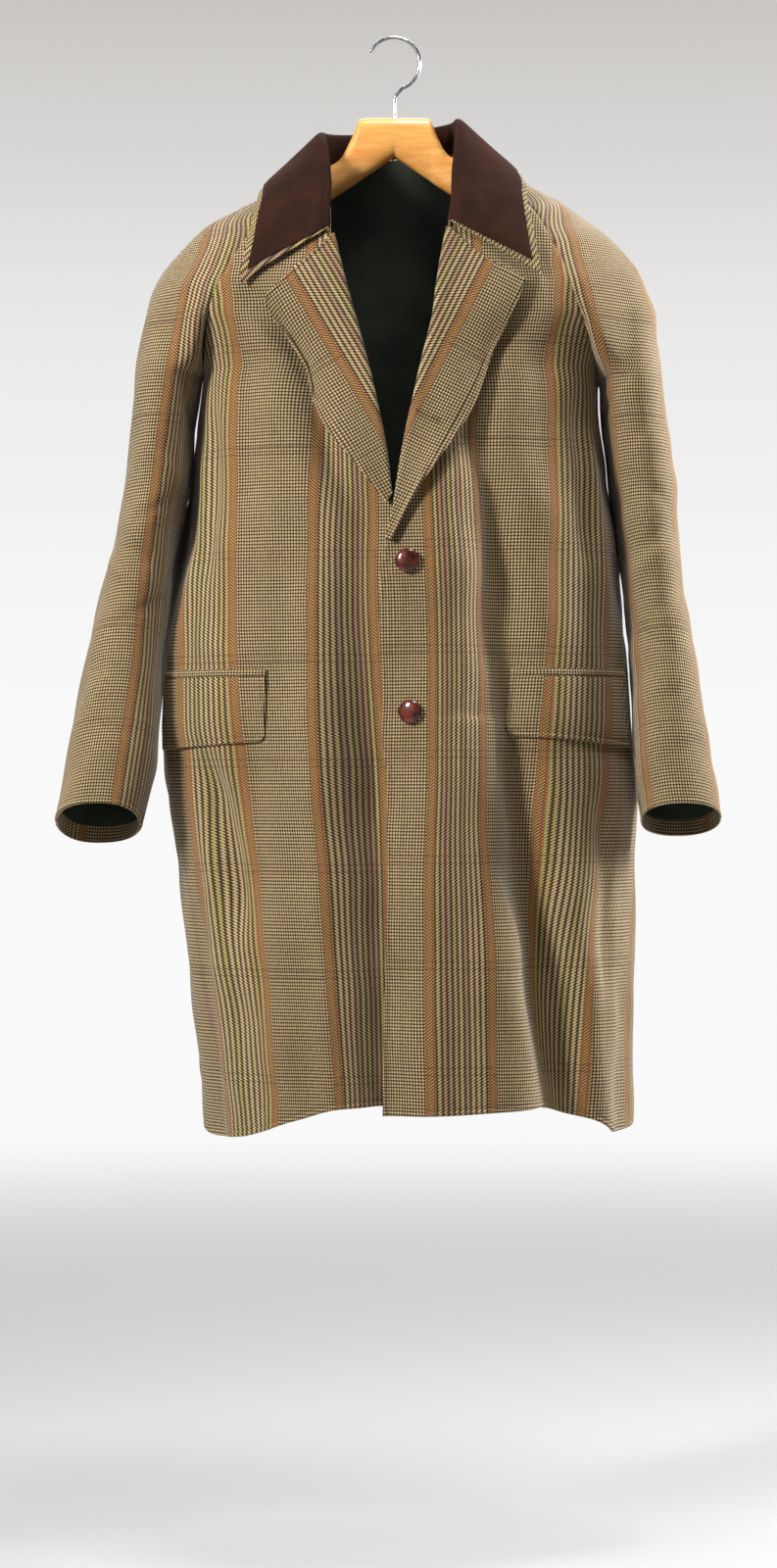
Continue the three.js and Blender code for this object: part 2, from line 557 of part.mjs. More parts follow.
// The two ends of one row of a front: its inner edge and its raglan or side seam. Along the roll
// line the inner edge stops short, inside the turned edge of the lapel.
function frontRowEnds(side, level) {
  const lapelEnd = LAPEL[side][LAPEL[side].length - 1].rollZ;
  const inset = (z) => sign[side] * ROLL_INSET * smooth((z - lapelEnd) / 25 + 1);
  if (level <= SEAM_ROWS) {
    const row = readRaglan[side](level);
    const innerX = sign[side] * row.innerX + inset(row.innerZ);
    return {
      inner: { turn: turnAt(innerX, row.innerZ), z: row.innerZ },
      outer: { turn: turnAt(sign[side] * row.frontX, row.frontZ), z: row.frontZ },
    };
  }
  const z = lerp(underarmLevel(side), HEM, level - SEAM_ROWS);
  return {
    inner: { turn: turnAt(frontEdge[side](z) + inset(z), z), z },
    outer: { turn: 90 * sign[side], z },
  };
}

function frontPiece(side, columns) {
  const levels = [...CAP_STATIONS, ...BODY_LEVELS.map((share) => SEAM_ROWS + share)];
  const outer = [];
  const inner = [];
  for (const level of levels) {
    const ends = frontRowEnds(side, level);
    const outerRow = [];
    const innerRow = [];
    for (let j = 0; j <= columns; j += 1) {
      const turn = lerp(ends.inner.turn, ends.outer.turn, j / columns);
      const z = hemmed(turn, lerp(ends.inner.z, ends.outer.z, j / columns), side);
      const point = bodyPoint(turn, z);
      const normal = bodyNormal(turn, z);
      const lift = side === 'left' ? overlapLift(point.x, z) : 0;
      outerRow.push(point.clone().addScaledVector(normal, lift));
      innerRow.push(point.clone().addScaledVector(normal, lift - CLOTH));
    }
    outer.push(outerRow);
    inner.push(innerRow);
  }
  trimGrid(outer, ['end']);
  trimGrid(inner, ['end']);
  return wallGeometry(outer, inner);
}

const BACK_NECK_RISE = 8; // the back neck stands this much over the ends of its seams

function backRow(level, columns) {
  const places = [];
  for (let j = 0; j <= columns; j += 1) {
    const share = j / columns;
    if (level <= SEAM_ROWS) {
      const left = readRaglan.left(level);
      const right = readRaglan.right(level);
      const from = turnAt(left.backX, left.backZ, true);
      const to = turnAt(-right.backX, right.backZ, true);
      const rise = BACK_NECK_RISE * (1 - (2 * share - 1) ** 2) * (1 - level / SEAM_ROWS) ** 3;
      places.push({ turn: lerp(from, to, share), z: lerp(left.backZ, right.backZ, share) + rise });
    } else {
      const turn = lerp(90, 270, share);
      const drop = level - SEAM_ROWS;
      const top = lerp(underarmLevel('left'), underarmLevel('right'), share);
      places.push({ turn, z: hemmed(turn, lerp(top, HEM, drop), 'back') });
    }
  }
  return places;
}

function backPiece(columns) {
  const levels = [...CAP_STATIONS, ...BODY_LEVELS.map((share) => SEAM_ROWS + share)];
  const places = levels.map((level) => backRow(level, columns));
  const outer = places.map((row) => row.map(({ turn, z }) => bodyPoint(turn, z)));
  const inner = places.map((row) => row.map(({ turn, z }) => overBody(turn, z, -CLOTH)));
  trimGrid(outer, ['start', 'end']);
  trimGrid(inner, ['start', 'end']);
  return wallGeometry(outer, inner);
}

// ---------------------------------------------------------------- sleeves

const SLEEVE_POWER = 2.25;
const SLEEVE_COLUMNS = 6; // facets of each half of a sleeve
const LINING_END = 0.62; // where the lining ends in the cuff's last facets
const BLEND_FROM = 7; // the station where the sleeve's head starts to close into a tube
const TUBE_LEVELS = [0.06, 0.14, 0.23, 0.32, 0.42, 0.52, 0.62, 0.72, 0.82, 0.91, 1];
const SLEEVE_KEYS = ['outer', 'inner', 'mid', 'depth', 'pitch'];
const readSleeve = Object.fromEntries(['right', 'left'].map((side) => [
  side,
  Object.fromEntries(SLEEVE_KEYS.map((key) => [key, tableCurve(SLEEVE[side], 'z', key)])),
]));

// A point of the sleeve as a tube. Round: 0 inside, 0.25 in front, 0.5 outside, 0.75 behind.
function tubePoint(side, z, round) {
  const read = readSleeve[side];
  const angle = round * 2 * Math.PI;
  const half = (read.outer(z) - read.inner(z)) / 2;
  const middle = (read.outer(z) + read.inner(z)) / 2;
  const across = signedPower(Math.cos(angle), 2 / SLEEVE_POWER);
  const forward = signedPower(Math.sin(angle), 2 / SLEEVE_POWER) * read.depth(z);
  const pitch = radians(read.pitch(z));
  return new THREE.Vector3(
    sign[side] * (middle - half * across),
    read.mid(z) - forward * Math.cos(pitch),
    z + forward * Math.sin(pitch),
  );
}

// A point of the sleeve's head, which lies on the coat's form between the raglan seams.
function headPoint(side, row, round) {
  const front = Math.abs(turnAt(row.frontX, row.frontZ));
  const back = 180 - Math.abs(turnAt(row.backX, row.backZ));
  const share = Math.abs(1 - 2 * round);
  const end = round < 0.5 ? front : back;
  const endZ = round < 0.5 ? row.frontZ : row.backZ;
  const turn = lerp(90, end, share);
  const z = lerp(row.ridgeZ, endZ, share * share);
  return bodyPoint(sign[side] * turn, z, true);
}

function seamPoint(side, row, back) {
  const x = back ? row.backX : row.frontX;
  const z = back ? row.backZ : row.frontZ;
  return bodyPoint(turnAt(sign[side] * x, z, back), z);
}

const SEAM_PULL = 0.25; // how far round the sleeve the pull of a raglan seam reaches

function sleevePoint(side, level, round) {
  if (level > SEAM_ROWS) {
    const top = underarmLevel(side);
    const foot = SLEEVE[side][SLEEVE[side].length - 1].z;
    return tubePoint(side, lerp(top, foot, level - SEAM_ROWS), round);
  }
  const row = readRaglan[side](level);
  const closing = smooth((level - BLEND_FROM) / (SEAM_ROWS - BLEND_FROM));
  const raw = (share) => headPoint(side, row, share).lerp(tubePoint(side, row.ridgeZ, share), closing);
  const point = raw(round);
  const frontPull = 1 - smooth(round / SEAM_PULL);
  const backPull = 1 - smooth((1 - round) / SEAM_PULL);
  point.addScaledVector(seamPoint(side, row, false).sub(raw(0)), frontPull);
  point.addScaledVector(seamPoint(side, row, true).sub(raw(1)), backPull);
  return point;
}

const ROUND_STEP = 0.01;
const STATION_STEP = 0.05;

function sleeveNormal(side, level, round) {
  const wrap = (share) => (level >= SEAM_ROWS ? (share + 1) % 1 : clamp(share, 0, 1));
  const foot = SEAM_ROWS + 1;
  const across = sleevePoint(side, level, wrap(round + ROUND_STEP))
    .sub(sleevePoint(side, level, wrap(round - ROUND_STEP)));
  const along = sleevePoint(side, clamp(level + STATION_STEP, 0, foot), round)
    .sub(sleevePoint(side, clamp(level - STATION_STEP, 0, foot), round));
  const normal = across.cross(along).normalize().multiplyScalar(-sign[side]);
  const nearSeam = round < ROUND_STEP || round > 1 - ROUND_STEP;
  if (nearSeam && level < SEAM_ROWS) {
    const row = readRaglan[side](level);
    const back = round > 0.5;
    const x = sign[side] * (back ? row.backX : row.frontX);
    const z = back ? row.backZ : row.frontZ;
    const shared = bodyNormal(turnAt(x, z, back), z);
    const apart = smooth((level - BLEND_FROM) / (SEAM_ROWS - BLEND_FROM));
    normal.multiplyScalar(apart).addScaledVector(shared, 1 - apart).normalize();
  }
  return normal;
}

// Rings of a sleeve at the given levels, moved in by a depth.
function sleeveGrid(side, levels, from, to, columns, depth) {
  return levels.map((level) => Array.from({ length: columns + 1 }, (_, j) => {
    const round = lerp(from, to, j / columns);
    return sleevePoint(side, level, round).addScaledVector(sleeveNormal(side, level, round), -depth);
  }));
}

function sleevePiece(side, from, to) {
  const levels = [...CAP_STATIONS, ...TUBE_LEVELS.map((share) => SEAM_ROWS + share)];
  const outer = sleeveGrid(side, levels, from, to, SLEEVE_COLUMNS, 0);
  const inner = sleeveGrid(side, levels, from, to, SLEEVE_COLUMNS, CLOTH);
  trimGrid(outer, ['start', 'end']);
  trimGrid(inner, ['start', 'end']);
  return wallGeometry(outer, inner);
}

// A short tube of lining inside the cuff, on the sleeve's own sections. It stops short of the
// cuff's end, where the tweed is turned in.
function cuffLining(side) {
  const levels = TUBE_LEVELS.slice(-4).map((share) => SEAM_ROWS + share);
  const ring = (depth) => {
    const grid = sleeveGrid(side, levels, 0, 1, SLEEVE_COLUMNS * 2, depth);
    const last = grid.length - 1;
    grid[last] = grid[last].map((point, j) => grid[last - 1][j].clone().lerp(point, LINING_END));
    return grid;
  };
  return wallGeometry(ring(CLOTH + SEAM), ring(CLOTH + SEAM + LINING), true);
}

// ---------------------------------------------------------------- lapels

function lapelLift(side, x, z) {
  return side === 'left' ? overlapLift(x, z) : 0;
}

function overFront(side, x, z, out) {
  return overBody(turnAt(x, z), z, out + lapelLift(side, x, z));
}

function lapelRow(side, row) {
  const roll = new THREE.Vector2(row.rollX, row.rollZ);
  const edge = new THREE.Vector2(row.edgeX, row.edgeZ);
  const width = roll.distanceTo(edge);
  const direction = edge.clone().sub(roll).divideScalar(width);
  const small = clamp(width / 30, 0.4, 1);
  const points = LAPEL_ROLL.map(({ across, out }) => {
    const place = roll.clone().addScaledVector(direction, across * small);
    const height = out > 0 ? out * lerp(0.75, 1, small) : out;
    return overFront(side, place.x, place.y, height);
  });
  for (const share of LAPEL_SPREAD) {
    const place = roll.clone().addScaledVector(direction, width * share);
    place.y -= row.sag * Math.sin(Math.PI * share);
    const swell = LAPEL_SWELL * small * Math.exp(-((width * share) / LAPEL_SWELL_REACH));
    points.push(overFront(side, place.x, place.y, LAP_GAP + FACING + swell));
  }
  return points;
}

function lapelPiece(side) {
  const outer = LAPEL[side].map((row) => lapelRow(side, row));
  const normals = gridNormals(outer);
  const facing = side === 'left' ? 1 : -1;
  const inner = offsetGrid(outer, normals, facing * FACING);
  return wallGeometry(outer, inner);
}

// ---------------------------------------------------------------- collar

const readCollar = rowReader(COLLAR);

// One section of the collar from the neck seam up the stand, over the fold and down to the edge.
function collarSection(row) {
  const neck = overBody(row.neckTurn, row.neckZ, LAP_GAP);
  const edgeBase = bodyPoint(row.edgeTurn, row.edgeZ);
  const outward = edgeBase.clone().sub(neck).setZ(0).normalize();
  const radius = Math.min(COLLAR_FOLD, row.stand * 0.45);
  const lean = Math.min(3, row.stand * 0.08);
  const at = (across, height) => neck.clone().addScaledVector(outward, across).setZ(neck.z + height);
  const shoulder = row.stand - radius;
  const points = [at(0, 0), at(-lean * 0.5, shoulder * 0.55), at(-lean, shoulder)];
  for (const angle of [135, 90, 45]) {
    const across = radius * (1 + Math.cos(radians(angle))) - lean;
    points.push(at(across, shoulder + radius * Math.sin(radians(angle))));
  }
  for (const share of COLLAR_SPREAD) {
    const turn = lerp(row.neckTurn, row.edgeTurn, share);
    const z = lerp(row.neckZ, row.edgeZ, share);
    const lift = UNDER_COLLAR + LAP_GAP + 0.3 + 4.2 * share;
    const height = row.stand * (1 - share) ** 0.95;
    const point = overBody(turn, z, lift);
    point.z += height;
    points.push(point);
  }
  return points;
}

const COLLAR_STEPS = 20;
const COLLAR_STATIONS = Array.from(
  { length: COLLAR_STEPS + 1 },
  (_, i) => (i * (COLLAR.length - 1)) / COLLAR_STEPS,
);

function collarGrid() {
  return COLLAR_STATIONS.map((station) => collarSection(readCollar(station)));
}

function underCollar() {
  const visible = collarGrid();
  const hidden = offsetGrid(visible, gridNormals(visible), UNDER_COLLAR);
  return wallGeometry(visible, hidden);
}

// Moves the ends and the outer edge of the velvet in, so that a border of tweed shows.
function velvetCollar() {
  const base = collarGrid();
  const normals = gridNormals(base);
  const near = offsetGrid(base, normals, -SEAM * 0.8);
  const far = offsetGrid(base, normals, -SEAM * 0.8 - VELVET);
  for (const grid of [near, far]) {
    const rows = grid.length;
    const columns = grid[0].length;
    const leafStart = columns - COLLAR_SPREAD.length;
    for (const [end, next] of [[0, 1], [rows - 1, rows - 2]]) {
      grid[end].forEach((point, j) => {
        const share = Math.max(0, (j - leafStart + 1) / COLLAR_SPREAD.length);
        const inward = grid[next][j].clone().sub(point).normalize();
        point.addScaledVector(inward, 0.6 + COLLAR_BORDER * share);
      });
    }
    for (const row of grid) {
      row[0].lerp(row[1], VELVET_FOOT);
      const last = row[columns - 1];
      const inward = row[columns - 2].clone().sub(last).normalize();
      last.addScaledVector(inward, COLLAR_BORDER);
    }
  }
  return wallGeometry(near, far);
}

// ---------------------------------------------------------------- pockets and buttons

function flapPoint(side, share, drop, out) {
  const flap = FLAP[side];
  const frontX = lerp(flap.topX, flap.footX, drop);
  const foot = lerp(flap.footFrontZ, flap.footSideZ, share);
  const length = Math.abs(flap.sideTurn) * 2.6;
  const fromFront = share * length;
  const cut = fromFront < FLAP_CORNER
    ? FLAP_CORNER - Math.sqrt(FLAP_CORNER ** 2 - (FLAP_CORNER - fromFront) ** 2)
    : 0;
  const z = lerp(flap.topZ, foot + cut * 0.8, drop);
  const turn = lerp(turnAt(frontX, z), flap.sideTurn, share);
  return overBody(turn, z, out);
}

const FLAP_SHARES = [0, 0.02, 0.05, 0.14, 0.24, 0.34, 0.44, 0.54, 0.64, 0.73, 0.82, 0.91, 1];

function flapPiece(side) {
  const drops = [0, 0.4, 0.8, 1];
  const grid = (out) => drops.map((drop) => FLAP_SHARES.map((share) => flapPoint(side, share, drop, out)));
  return wallGeometry(grid(LAP_GAP + FLAP_WALL), grid(LAP_GAP));
}

function jetPiece(side) {
  const flap = FLAP[side];
  const levels = [flap.topZ + SEAM, flap.topZ + JET_HEIGHT * 0.5, flap.topZ + JET_HEIGHT];
  const swell = [0.85, 1, 0.6];
  const from = turnAt(flap.topX, flap.topZ);
  const grid = (height) => levels.map((z, i) => FLAP_SHARES.map((share) => {
    const turn = lerp(from, flap.sideTurn, share);
    return overBody(turn, z, LAP_GAP + height * swell[i]);
  }));
  return wallGeometry(grid(JET_OUT), grid(0));
}

function button(x, z) {
  const { radius, height } = BUTTON;
  const profile = [
    [0, 0], [4.5, 0], [4.5, 2.2], [radius * 0.72, 2.8], [radius * 0.94, 4], [radius, 5.4],
    [radius * 0.9, 7.2], [radius * 0.66, 8.6], [radius * 0.34, height - 0.2], [0, height],
  ].map(([r, y]) => new THREE.Vector2(r, y));
  const mesh = new THREE.Mesh(new THREE.LatheGeometry(profile, 20));
  const turn = turnAt(x, z);
  const out = overlapLift(x, z) - BUTTON.sink;
  mesh.position.copy(overBody(turn, z, out));
  mesh.quaternion.setFromUnitVectors(new THREE.Vector3(0, 1, 0), bodyNormal(turn, z));
  return mesh;
}

// ---------------------------------------------------------------- hanger

const readHanger = {
  top: tableCurve(HANGER, 'x', 'top'),
  foot: tableCurve(HANGER, 'x', 'foot'),
  depth: tableCurve(HANGER, 'x', 'depth'),
};

// The level of the coat's shoulder line at a distance from the middle.
const shoulderLine = {
  right: tableCurve(BODY.slice(0, 10), 'right', 'z'),
  left: tableCurve(BODY.slice(0, 10), 'left', 'z'),
};
const SHOULDER_CLEARANCE = 4.2; // wall of the cloth, measured upright on the slope, and a gap
const HANGER_EASE = 2.5; // the hanger's arms leave the cloth a little past the seat
const HANGER_TIP = 8; // and turn down at their ends

function hangerTop(x) {
  const away = Math.abs(x - HANGER_MIDDLE);
  const own = readHanger.top(away);
  const under = shoulderLine[x < 0 ? 'right' : 'left'](Math.abs(x)) - SHOULDER_CLEARANCE;
  const seated = smooth((away - 50) / 24);
  const eased = under - HANGER_EASE * smooth((away - 105) / 45) - HANGER_TIP * smooth((away - 190) / 18);
  return lerp(own, eased, seated);
}

function hangerSection(x, sides) {
  const away = Math.abs(x - HANGER_MIDDLE);
  const top = hangerTop(x);
  const foot = lerp(readHanger.foot(away), top - 36, smooth((away - 60) / 60));
  const middle = (top + foot) / 2;
  const half = (top - foot) / 2;
  const depth = readHanger.depth(away);
  const forward = -HANGER_BEND * smooth((away - 60) / 140);
  const ring = [];
  for (let j = 0; j < sides; j += 1) {
    const angle = (j / sides) * 2 * Math.PI;
    const across = depth * signedPower(Math.sin(angle), 0.75);
    const rise = half * signedPower(Math.cos(angle), 0.75);
    ring.push(new THREE.Vector3(x, forward + across, middle + rise));
  }
  return ring;
}

function hangerBlank() {
  const sides = 16;
  const ends = HANGER[HANGER.length - 1].x;
  const shares = [0, 3, 8, 14, 20, 26, 32, 38, 43, 48, 54, 60, 66, 78, 92, 108, 126, 146, 164, 182, 196, 203];
  const places = [...new Set([...shares.map((x) => -x), ...shares, -ends, ends])].sort((a, b) => a - b);
  const rings = places.map((away) => hangerSection(HANGER_MIDDLE + away, sides));
  const positions = rings.flat().flatMap((point) => point.toArray());
  const triangles = [];
  for (let i = 0; i < rings.length - 1; i += 1) {
    for (let j = 0; j < sides; j += 1) {
      const a = i * sides + j;
      const b = i * sides + ((j + 1) % sides);
      triangles.push(a, b, b + sides, a, b + sides, a + sides);
    }
  }
  const last = (rings.length - 1) * sides;
  for (let j = 1; j < sides - 1; j += 1) {
    triangles.push(0, j + 1, j, last, last + j, last + j + 1);
  }
  if (signedVolume(positions, triangles) < 0) triangles.reverse();
  const geometry = new THREE.BufferGeometry();
  geometry.setAttribute('position', new THREE.Float32BufferAttribute(positions, 3));
  geometry.setIndex(triangles);
  return geometry;
}

const wasm = await Module();
wasm.setup();

function toManifold(geometry) {
  const bare = geometry.clone();
  bare.deleteAttribute('normal');
  bare.deleteAttribute('uv');
  const merged = mergeVertices(bare, 1e-4);
  return new wasm.Manifold(new wasm.Mesh({
    numProp: 3,
    vertProperties: new Float32Array(merged.attributes.position.array),
    triVerts: new Uint32Array(merged.index.array),
  }));
}

function fromManifold(solid) {
  const mesh = solid.getMesh();
  const geometry = new THREE.BufferGeometry();
  geometry.setAttribute('position', new THREE.BufferAttribute(mesh.vertProperties, 3));
  geometry.setIndex(new THREE.BufferAttribute(mesh.triVerts, 1));
  geometry.computeVertexNormals();
  return geometry;
}

const STEM_FOOT = HANGER[0].top - HOOK.seat;

// The hanger with a socket for the foot of its hook.
function hangerBody() {
  const radius = HOOK.wire + HOOK.clearance;
  const socket = new THREE.CylinderGeometry(radius, radius, HOOK.seat * 2, 12);
  socket.rotateX(Math.PI / 2);
  socket.translate(HOOK.stemX, 0, STEM_FOOT - HOOK.clearance + HOOK.seat);
  return fromManifold(toManifold(hangerBlank()).subtract(toManifold(socket)));
}

function hangerHook() {
  const centre = -HOOK.inner;
  const radius = HOOK.inner + HOOK.wire;
  const points = [];
  for (let turn = HOOK.tipTurn; turn > HOOK.endTurn; turn -= 11) {
    const angle = radians(turn);
    points.push(new THREE.Vector3(radius * Math.cos(angle), 0, centre + radius * Math.sin(angle)));
  }
  points.push(new THREE.Vector3(HOOK.stemX + 1.2, 0, centre - radius - 7));
  points.push(new THREE.Vector3(HOOK.stemX, 0, centre - radius - 14));
  points.push(new THREE.Vector3(HOOK.stemX, 0, STEM_FOOT + 12));
  points.push(new THREE.Vector3(HOOK.stemX, 0, STEM_FOOT));
  const path = new THREE.CatmullRomCurve3(points, false, 'centripetal');
  const section = new THREE.Shape();
  section.absarc(0, 0, HOOK.wire, 0, 2 * Math.PI);
  return new THREE.ExtrudeGeometry(section, { extrudePath: path, steps: 40, curveSegments: 5 });
}

// ---------------------------------------------------------------- the coat

const coat = new THREE.Group();

function finish(color, roughness, metalness = 0) {
  return new THREE.MeshStandardMaterial({ color, roughness, metalness, side: THREE.DoubleSide });
}

function add(name, shape, material) {
  const mesh = shape.isMesh ? shape : new THREE.Mesh(shape);
  mesh.name = name;
  mesh.material = material;
  coat.add(mesh);
}

for (const side of ['left', 'right']) {
  add(`front_${side}`, frontPiece(side, 10), finish(COLOR.tweed, 0.9));
  add(`sleeve_front_${side}`, sleevePiece(side, 0, 0.5), finish(COLOR.tweed, 0.9));
  add(`sleeve_back_${side}`, sleevePiece(side, 0.5, 1), finish(COLOR.tweed, 0.9));
  add(`sleeve_lining_${side}`, cuffLining(side), finish(COLOR.lining, 0.45));
  add(`lapel_${side}`, lapelPiece(side), finish(COLOR.tweed, 0.9));
  add(`flap_${side}`, flapPiece(side), finish(COLOR.tweed, 0.9));
  add(`jet_${side}`, jetPiece(side), finish(COLOR.tweed, 0.9));
}
add('back', backPiece(14), finish(COLOR.tweed, 0.9));
add('under_collar', underCollar(), finish(COLOR.tweed, 0.9));
add('velvet_collar', velvetCollar(), finish(COLOR.velvet, 0.95));
add('button_upper', button(BUTTON.upperX, BUTTON.upperZ), finish(COLOR.button, 0.2));
add('button_lower', button(BUTTON.lowerX, BUTTON.lowerZ), finish(COLOR.button, 0.2));
add('hanger_body', hangerBody(), finish(COLOR.wood, 0.35));
add('hanger_hook', hangerHook(), finish(COLOR.steel, 0.25, 1));

export default coat;
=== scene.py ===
# %% [markdown]
# # A tweed raglan overcoat on a wooden hanger
#
# This lesson dresses a coat whose construction is already fixed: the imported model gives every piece
# of cloth, the buttons and the hanger at their real size. Here each piece gets its fine surface,
# its soft folds and its finish. Everything is in metres, +Z is up, and the coat faces -Y.

import json
import math

import bpy
import numpy as np
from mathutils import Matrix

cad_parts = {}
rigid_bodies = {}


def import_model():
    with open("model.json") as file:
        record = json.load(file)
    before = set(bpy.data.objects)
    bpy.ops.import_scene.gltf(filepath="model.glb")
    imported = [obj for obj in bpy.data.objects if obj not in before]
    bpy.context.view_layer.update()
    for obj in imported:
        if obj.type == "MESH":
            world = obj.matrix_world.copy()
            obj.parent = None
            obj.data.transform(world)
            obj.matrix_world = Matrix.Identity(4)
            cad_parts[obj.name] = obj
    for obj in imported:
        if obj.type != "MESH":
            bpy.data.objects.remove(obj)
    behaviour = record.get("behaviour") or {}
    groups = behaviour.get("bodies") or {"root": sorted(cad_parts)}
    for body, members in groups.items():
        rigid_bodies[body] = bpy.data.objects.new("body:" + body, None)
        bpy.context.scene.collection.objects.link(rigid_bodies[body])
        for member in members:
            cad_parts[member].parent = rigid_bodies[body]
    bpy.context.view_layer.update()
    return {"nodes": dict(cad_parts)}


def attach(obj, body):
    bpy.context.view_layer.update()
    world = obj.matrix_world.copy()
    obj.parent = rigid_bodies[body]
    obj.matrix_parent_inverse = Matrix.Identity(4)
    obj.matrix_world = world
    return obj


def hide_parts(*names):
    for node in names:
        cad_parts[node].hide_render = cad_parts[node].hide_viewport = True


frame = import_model()
print("pieces in the frame:", len(frame["nodes"]))

# %% [markdown]
# ## The camera
#
# The coat is looked at from straight in front, four metres away and level with its waist. A long
# lens at that distance keeps the shoulders and the hem at nearly the same scale.

# %% Camera
MM = 0.001
VIEW_HEIGHT = 1.7444  # metres that fit the height of the picture, at the coat's middle
CAMERA_PLACE = (-0.006, -4.0, -0.8284)
SENSOR = 24.0


def add_object(name, data):
    """A new object of the scene, at the origin, that shows the data given."""
    added = bpy.data.objects.new(name, data)
    bpy.context.scene.collection.objects.link(added)
    return added


camera_data = bpy.data.cameras.new("camera")
camera_data.sensor_fit = "VERTICAL"
camera_data.sensor_height = SENSOR
camera_data.lens = SENSOR * -CAMERA_PLACE[1] / VIEW_HEIGHT
camera = add_object("camera", camera_data)
camera.location = CAMERA_PLACE
camera.rotation_euler = (math.pi / 2, 0, 0)
bpy.context.scene.camera = camera
print("lens", round(camera_data.lens, 2), "mm")

# %% [markdown]
# ## Tables and smooth curves
#
# A coat's form is easiest to give as a few sections, as a tailor's draft does: a short table of
# levels with a width and a depth at each. A curve that never overshoots its rows turns each column
# into a smooth line, so that a handful of rows gives thousands of points.

# %% Tables, read as smooth curves
def table(text):
    """The columns of a table: a line with their names, then a line for each row."""
    names, *rows = text.split("\n")[1:-1]
    columns = np.array([row.split() for row in rows], float).T
    return dict(zip(names.split(), columns))


def smooth(value):
    t = np.clip(value, 0, 1)
    return t * t * (3 - 2 * t)


def lerp(a, b, t):
    return a + (b - a) * t


def curve(rows, across, up):
    """Reads one column of a table against another, as a smooth curve without overshoot."""
    order = np.argsort(rows[across])
    x, y = rows[across][order], rows[up][order]
    slope = np.diff(y) / np.diff(x)
    product = slope[:-1] * slope[1:]
    total = slope[:-1] + slope[1:]
    tangent = np.concatenate([slope[:1], np.zeros(len(slope) - 1), slope[-1:]])
    rising = product > 0
    tangent[1:-1][rising] = 2 * product[rising] / total[rising]

    def read(at):
        at = np.clip(at, x[0], x[-1])
        i = np.clip(np.searchsorted(x, at, side="right") - 1, 0, len(x) - 2)
        span = x[i + 1] - x[i]
        t = (at - x[i]) / span
        pull = t * (1 - t) * span * (tangent[i] * (1 - t) - tangent[i + 1] * t)
        return y[i] + (y[i + 1] - y[i]) * t * t * (3 - 2 * t) + pull

    return read


def row_reader(rows):
    """Reads every column of a table by row number, between the rows too."""
    numbered = dict(rows, number=np.arange(len(next(iter(rows.values()))), dtype=float))
    curves = {name: curve(numbered, "number", name) for name in rows}
    return lambda at: {name: read(at) for name, read in curves.items()}


print("halfway up a smooth step:", float(smooth(0.5)))

# %% [markdown]
# ## The coat's draft
#
# These are the sizes of the coat as it hangs, in millimetres: its sections, its raglan seams, its
# front edges, its hem and its sleeves. "left" and "right" are the wearer's.

# %% The draft's tables
CLOTH = 2.4
LAP_GAP = 1.1
OVERLAP_LIFT = CLOTH + LAP_GAP
ROLL_LIFT = 4.0
HEM = -1200
SIGN = {"right": -1, "left": 1}
SIDES = ("right", "left")

BODY = table("""
z right left front back mid power
-100 4 20 20 42 6 2
-120 40 58 36 60 6 2
-140 77 100 50 72 6 2
-160 116 144 64 84 5 2
-178 152 179 78 93 4 2
-196 184 205 89 100 2 2.05
-218 217 233 99 107 0 2.1
-240 239 256 106 112 -2 2.2
-262 256 271 111 116 -3 2.3
-283 267 280 115 119 -4 2.4
-310 258 273 119 122 -4 2.45
-335 236 251 122 124 -3 2.5
-358 219 234 125 126 -2 2.5
-378 211 226 127 128 -2 2.5
-430 214 226 131 131 -2 2.5
-500 217 235 135 133 -2 2.5
-560 223 243 138 136 -2 2.5
-620 234 247 142 140 -2 2.5
-690 243 254 147 144 -2 2.45
-770 246 260 153 149 -2 2.4
-850 243 268 159 153 -2 2.35
-930 238 268 164 157 -2 2.3
-1010 230 267 168 160 -2 2.3
-1090 221 266 171 163 -2 2.3
-1220 208 265 174 166 -2 2.3
""")
SHOULDER = table("""
z right left
-240 239 256
-262 256 271
-283 267 280
-310 276 290
-335 281 293
-358 285 295
-390 288 298
""")
print("sections of the body:", len(BODY["z"]))

# %% [markdown]
# A raglan seam runs slantwise from the neck to the underarm. Each row is a line of cloth from the
# neck or front edge to the seam, with the seam's place in front and behind and the level of the
# shoulder's ridge.

# %% Raglan seams
RAGLAN = {
    "right": table("""
inner_x inner_z front_x front_z back_x back_z ridge_z
73 -158 82 -155 42 -134 -141
72 -166 98 -165 68 -150 -160
70 -178 119 -180 95 -170 -178
68 -195 138 -198 126 -196 -199
67 -215 152 -218 147 -220 -221
66.5 -236 166 -240 166 -245 -244
61 -262 180 -262 179 -268 -267
55 -284 192 -284 190 -290 -290
50 -305 200 -305 198 -310 -310
45 -326 205 -326 204 -330 -330
39.5 -345 208 -345 208 -347 -348
35.5 -360 209.5 -360 209.5 -361 -361
32 -371 210.5 -371 210.5 -371 -371
30 -378 211 -378 211 -378 -378
"""),
    "left": table("""
inner_x inner_z front_x front_z back_x back_z ridge_z
70 -149 78 -146.5 38 -127 -126
68 -158 98 -157 68 -143 -142
65.5 -172 122 -172 98 -163 -160
62.5 -190 144 -190 130 -188 -182
60.5 -210 160 -210 152 -213 -206
58.5 -230 172 -232 172 -238 -231
53 -255 183 -255 186 -262 -256
50 -278 191 -278 197 -285 -281
47 -300 198 -300 205 -307 -304
44.4 -322 206 -322 212 -328 -327
39.5 -343 214 -343 218 -347 -348
35 -361 220 -361 222 -363 -363
32.5 -372 223.5 -372 224 -373 -373
30 -382 226 -382 226 -382 -382
"""),
}
print("rows along a raglan seam:", len(RAGLAN["left"]["ridge_z"]))

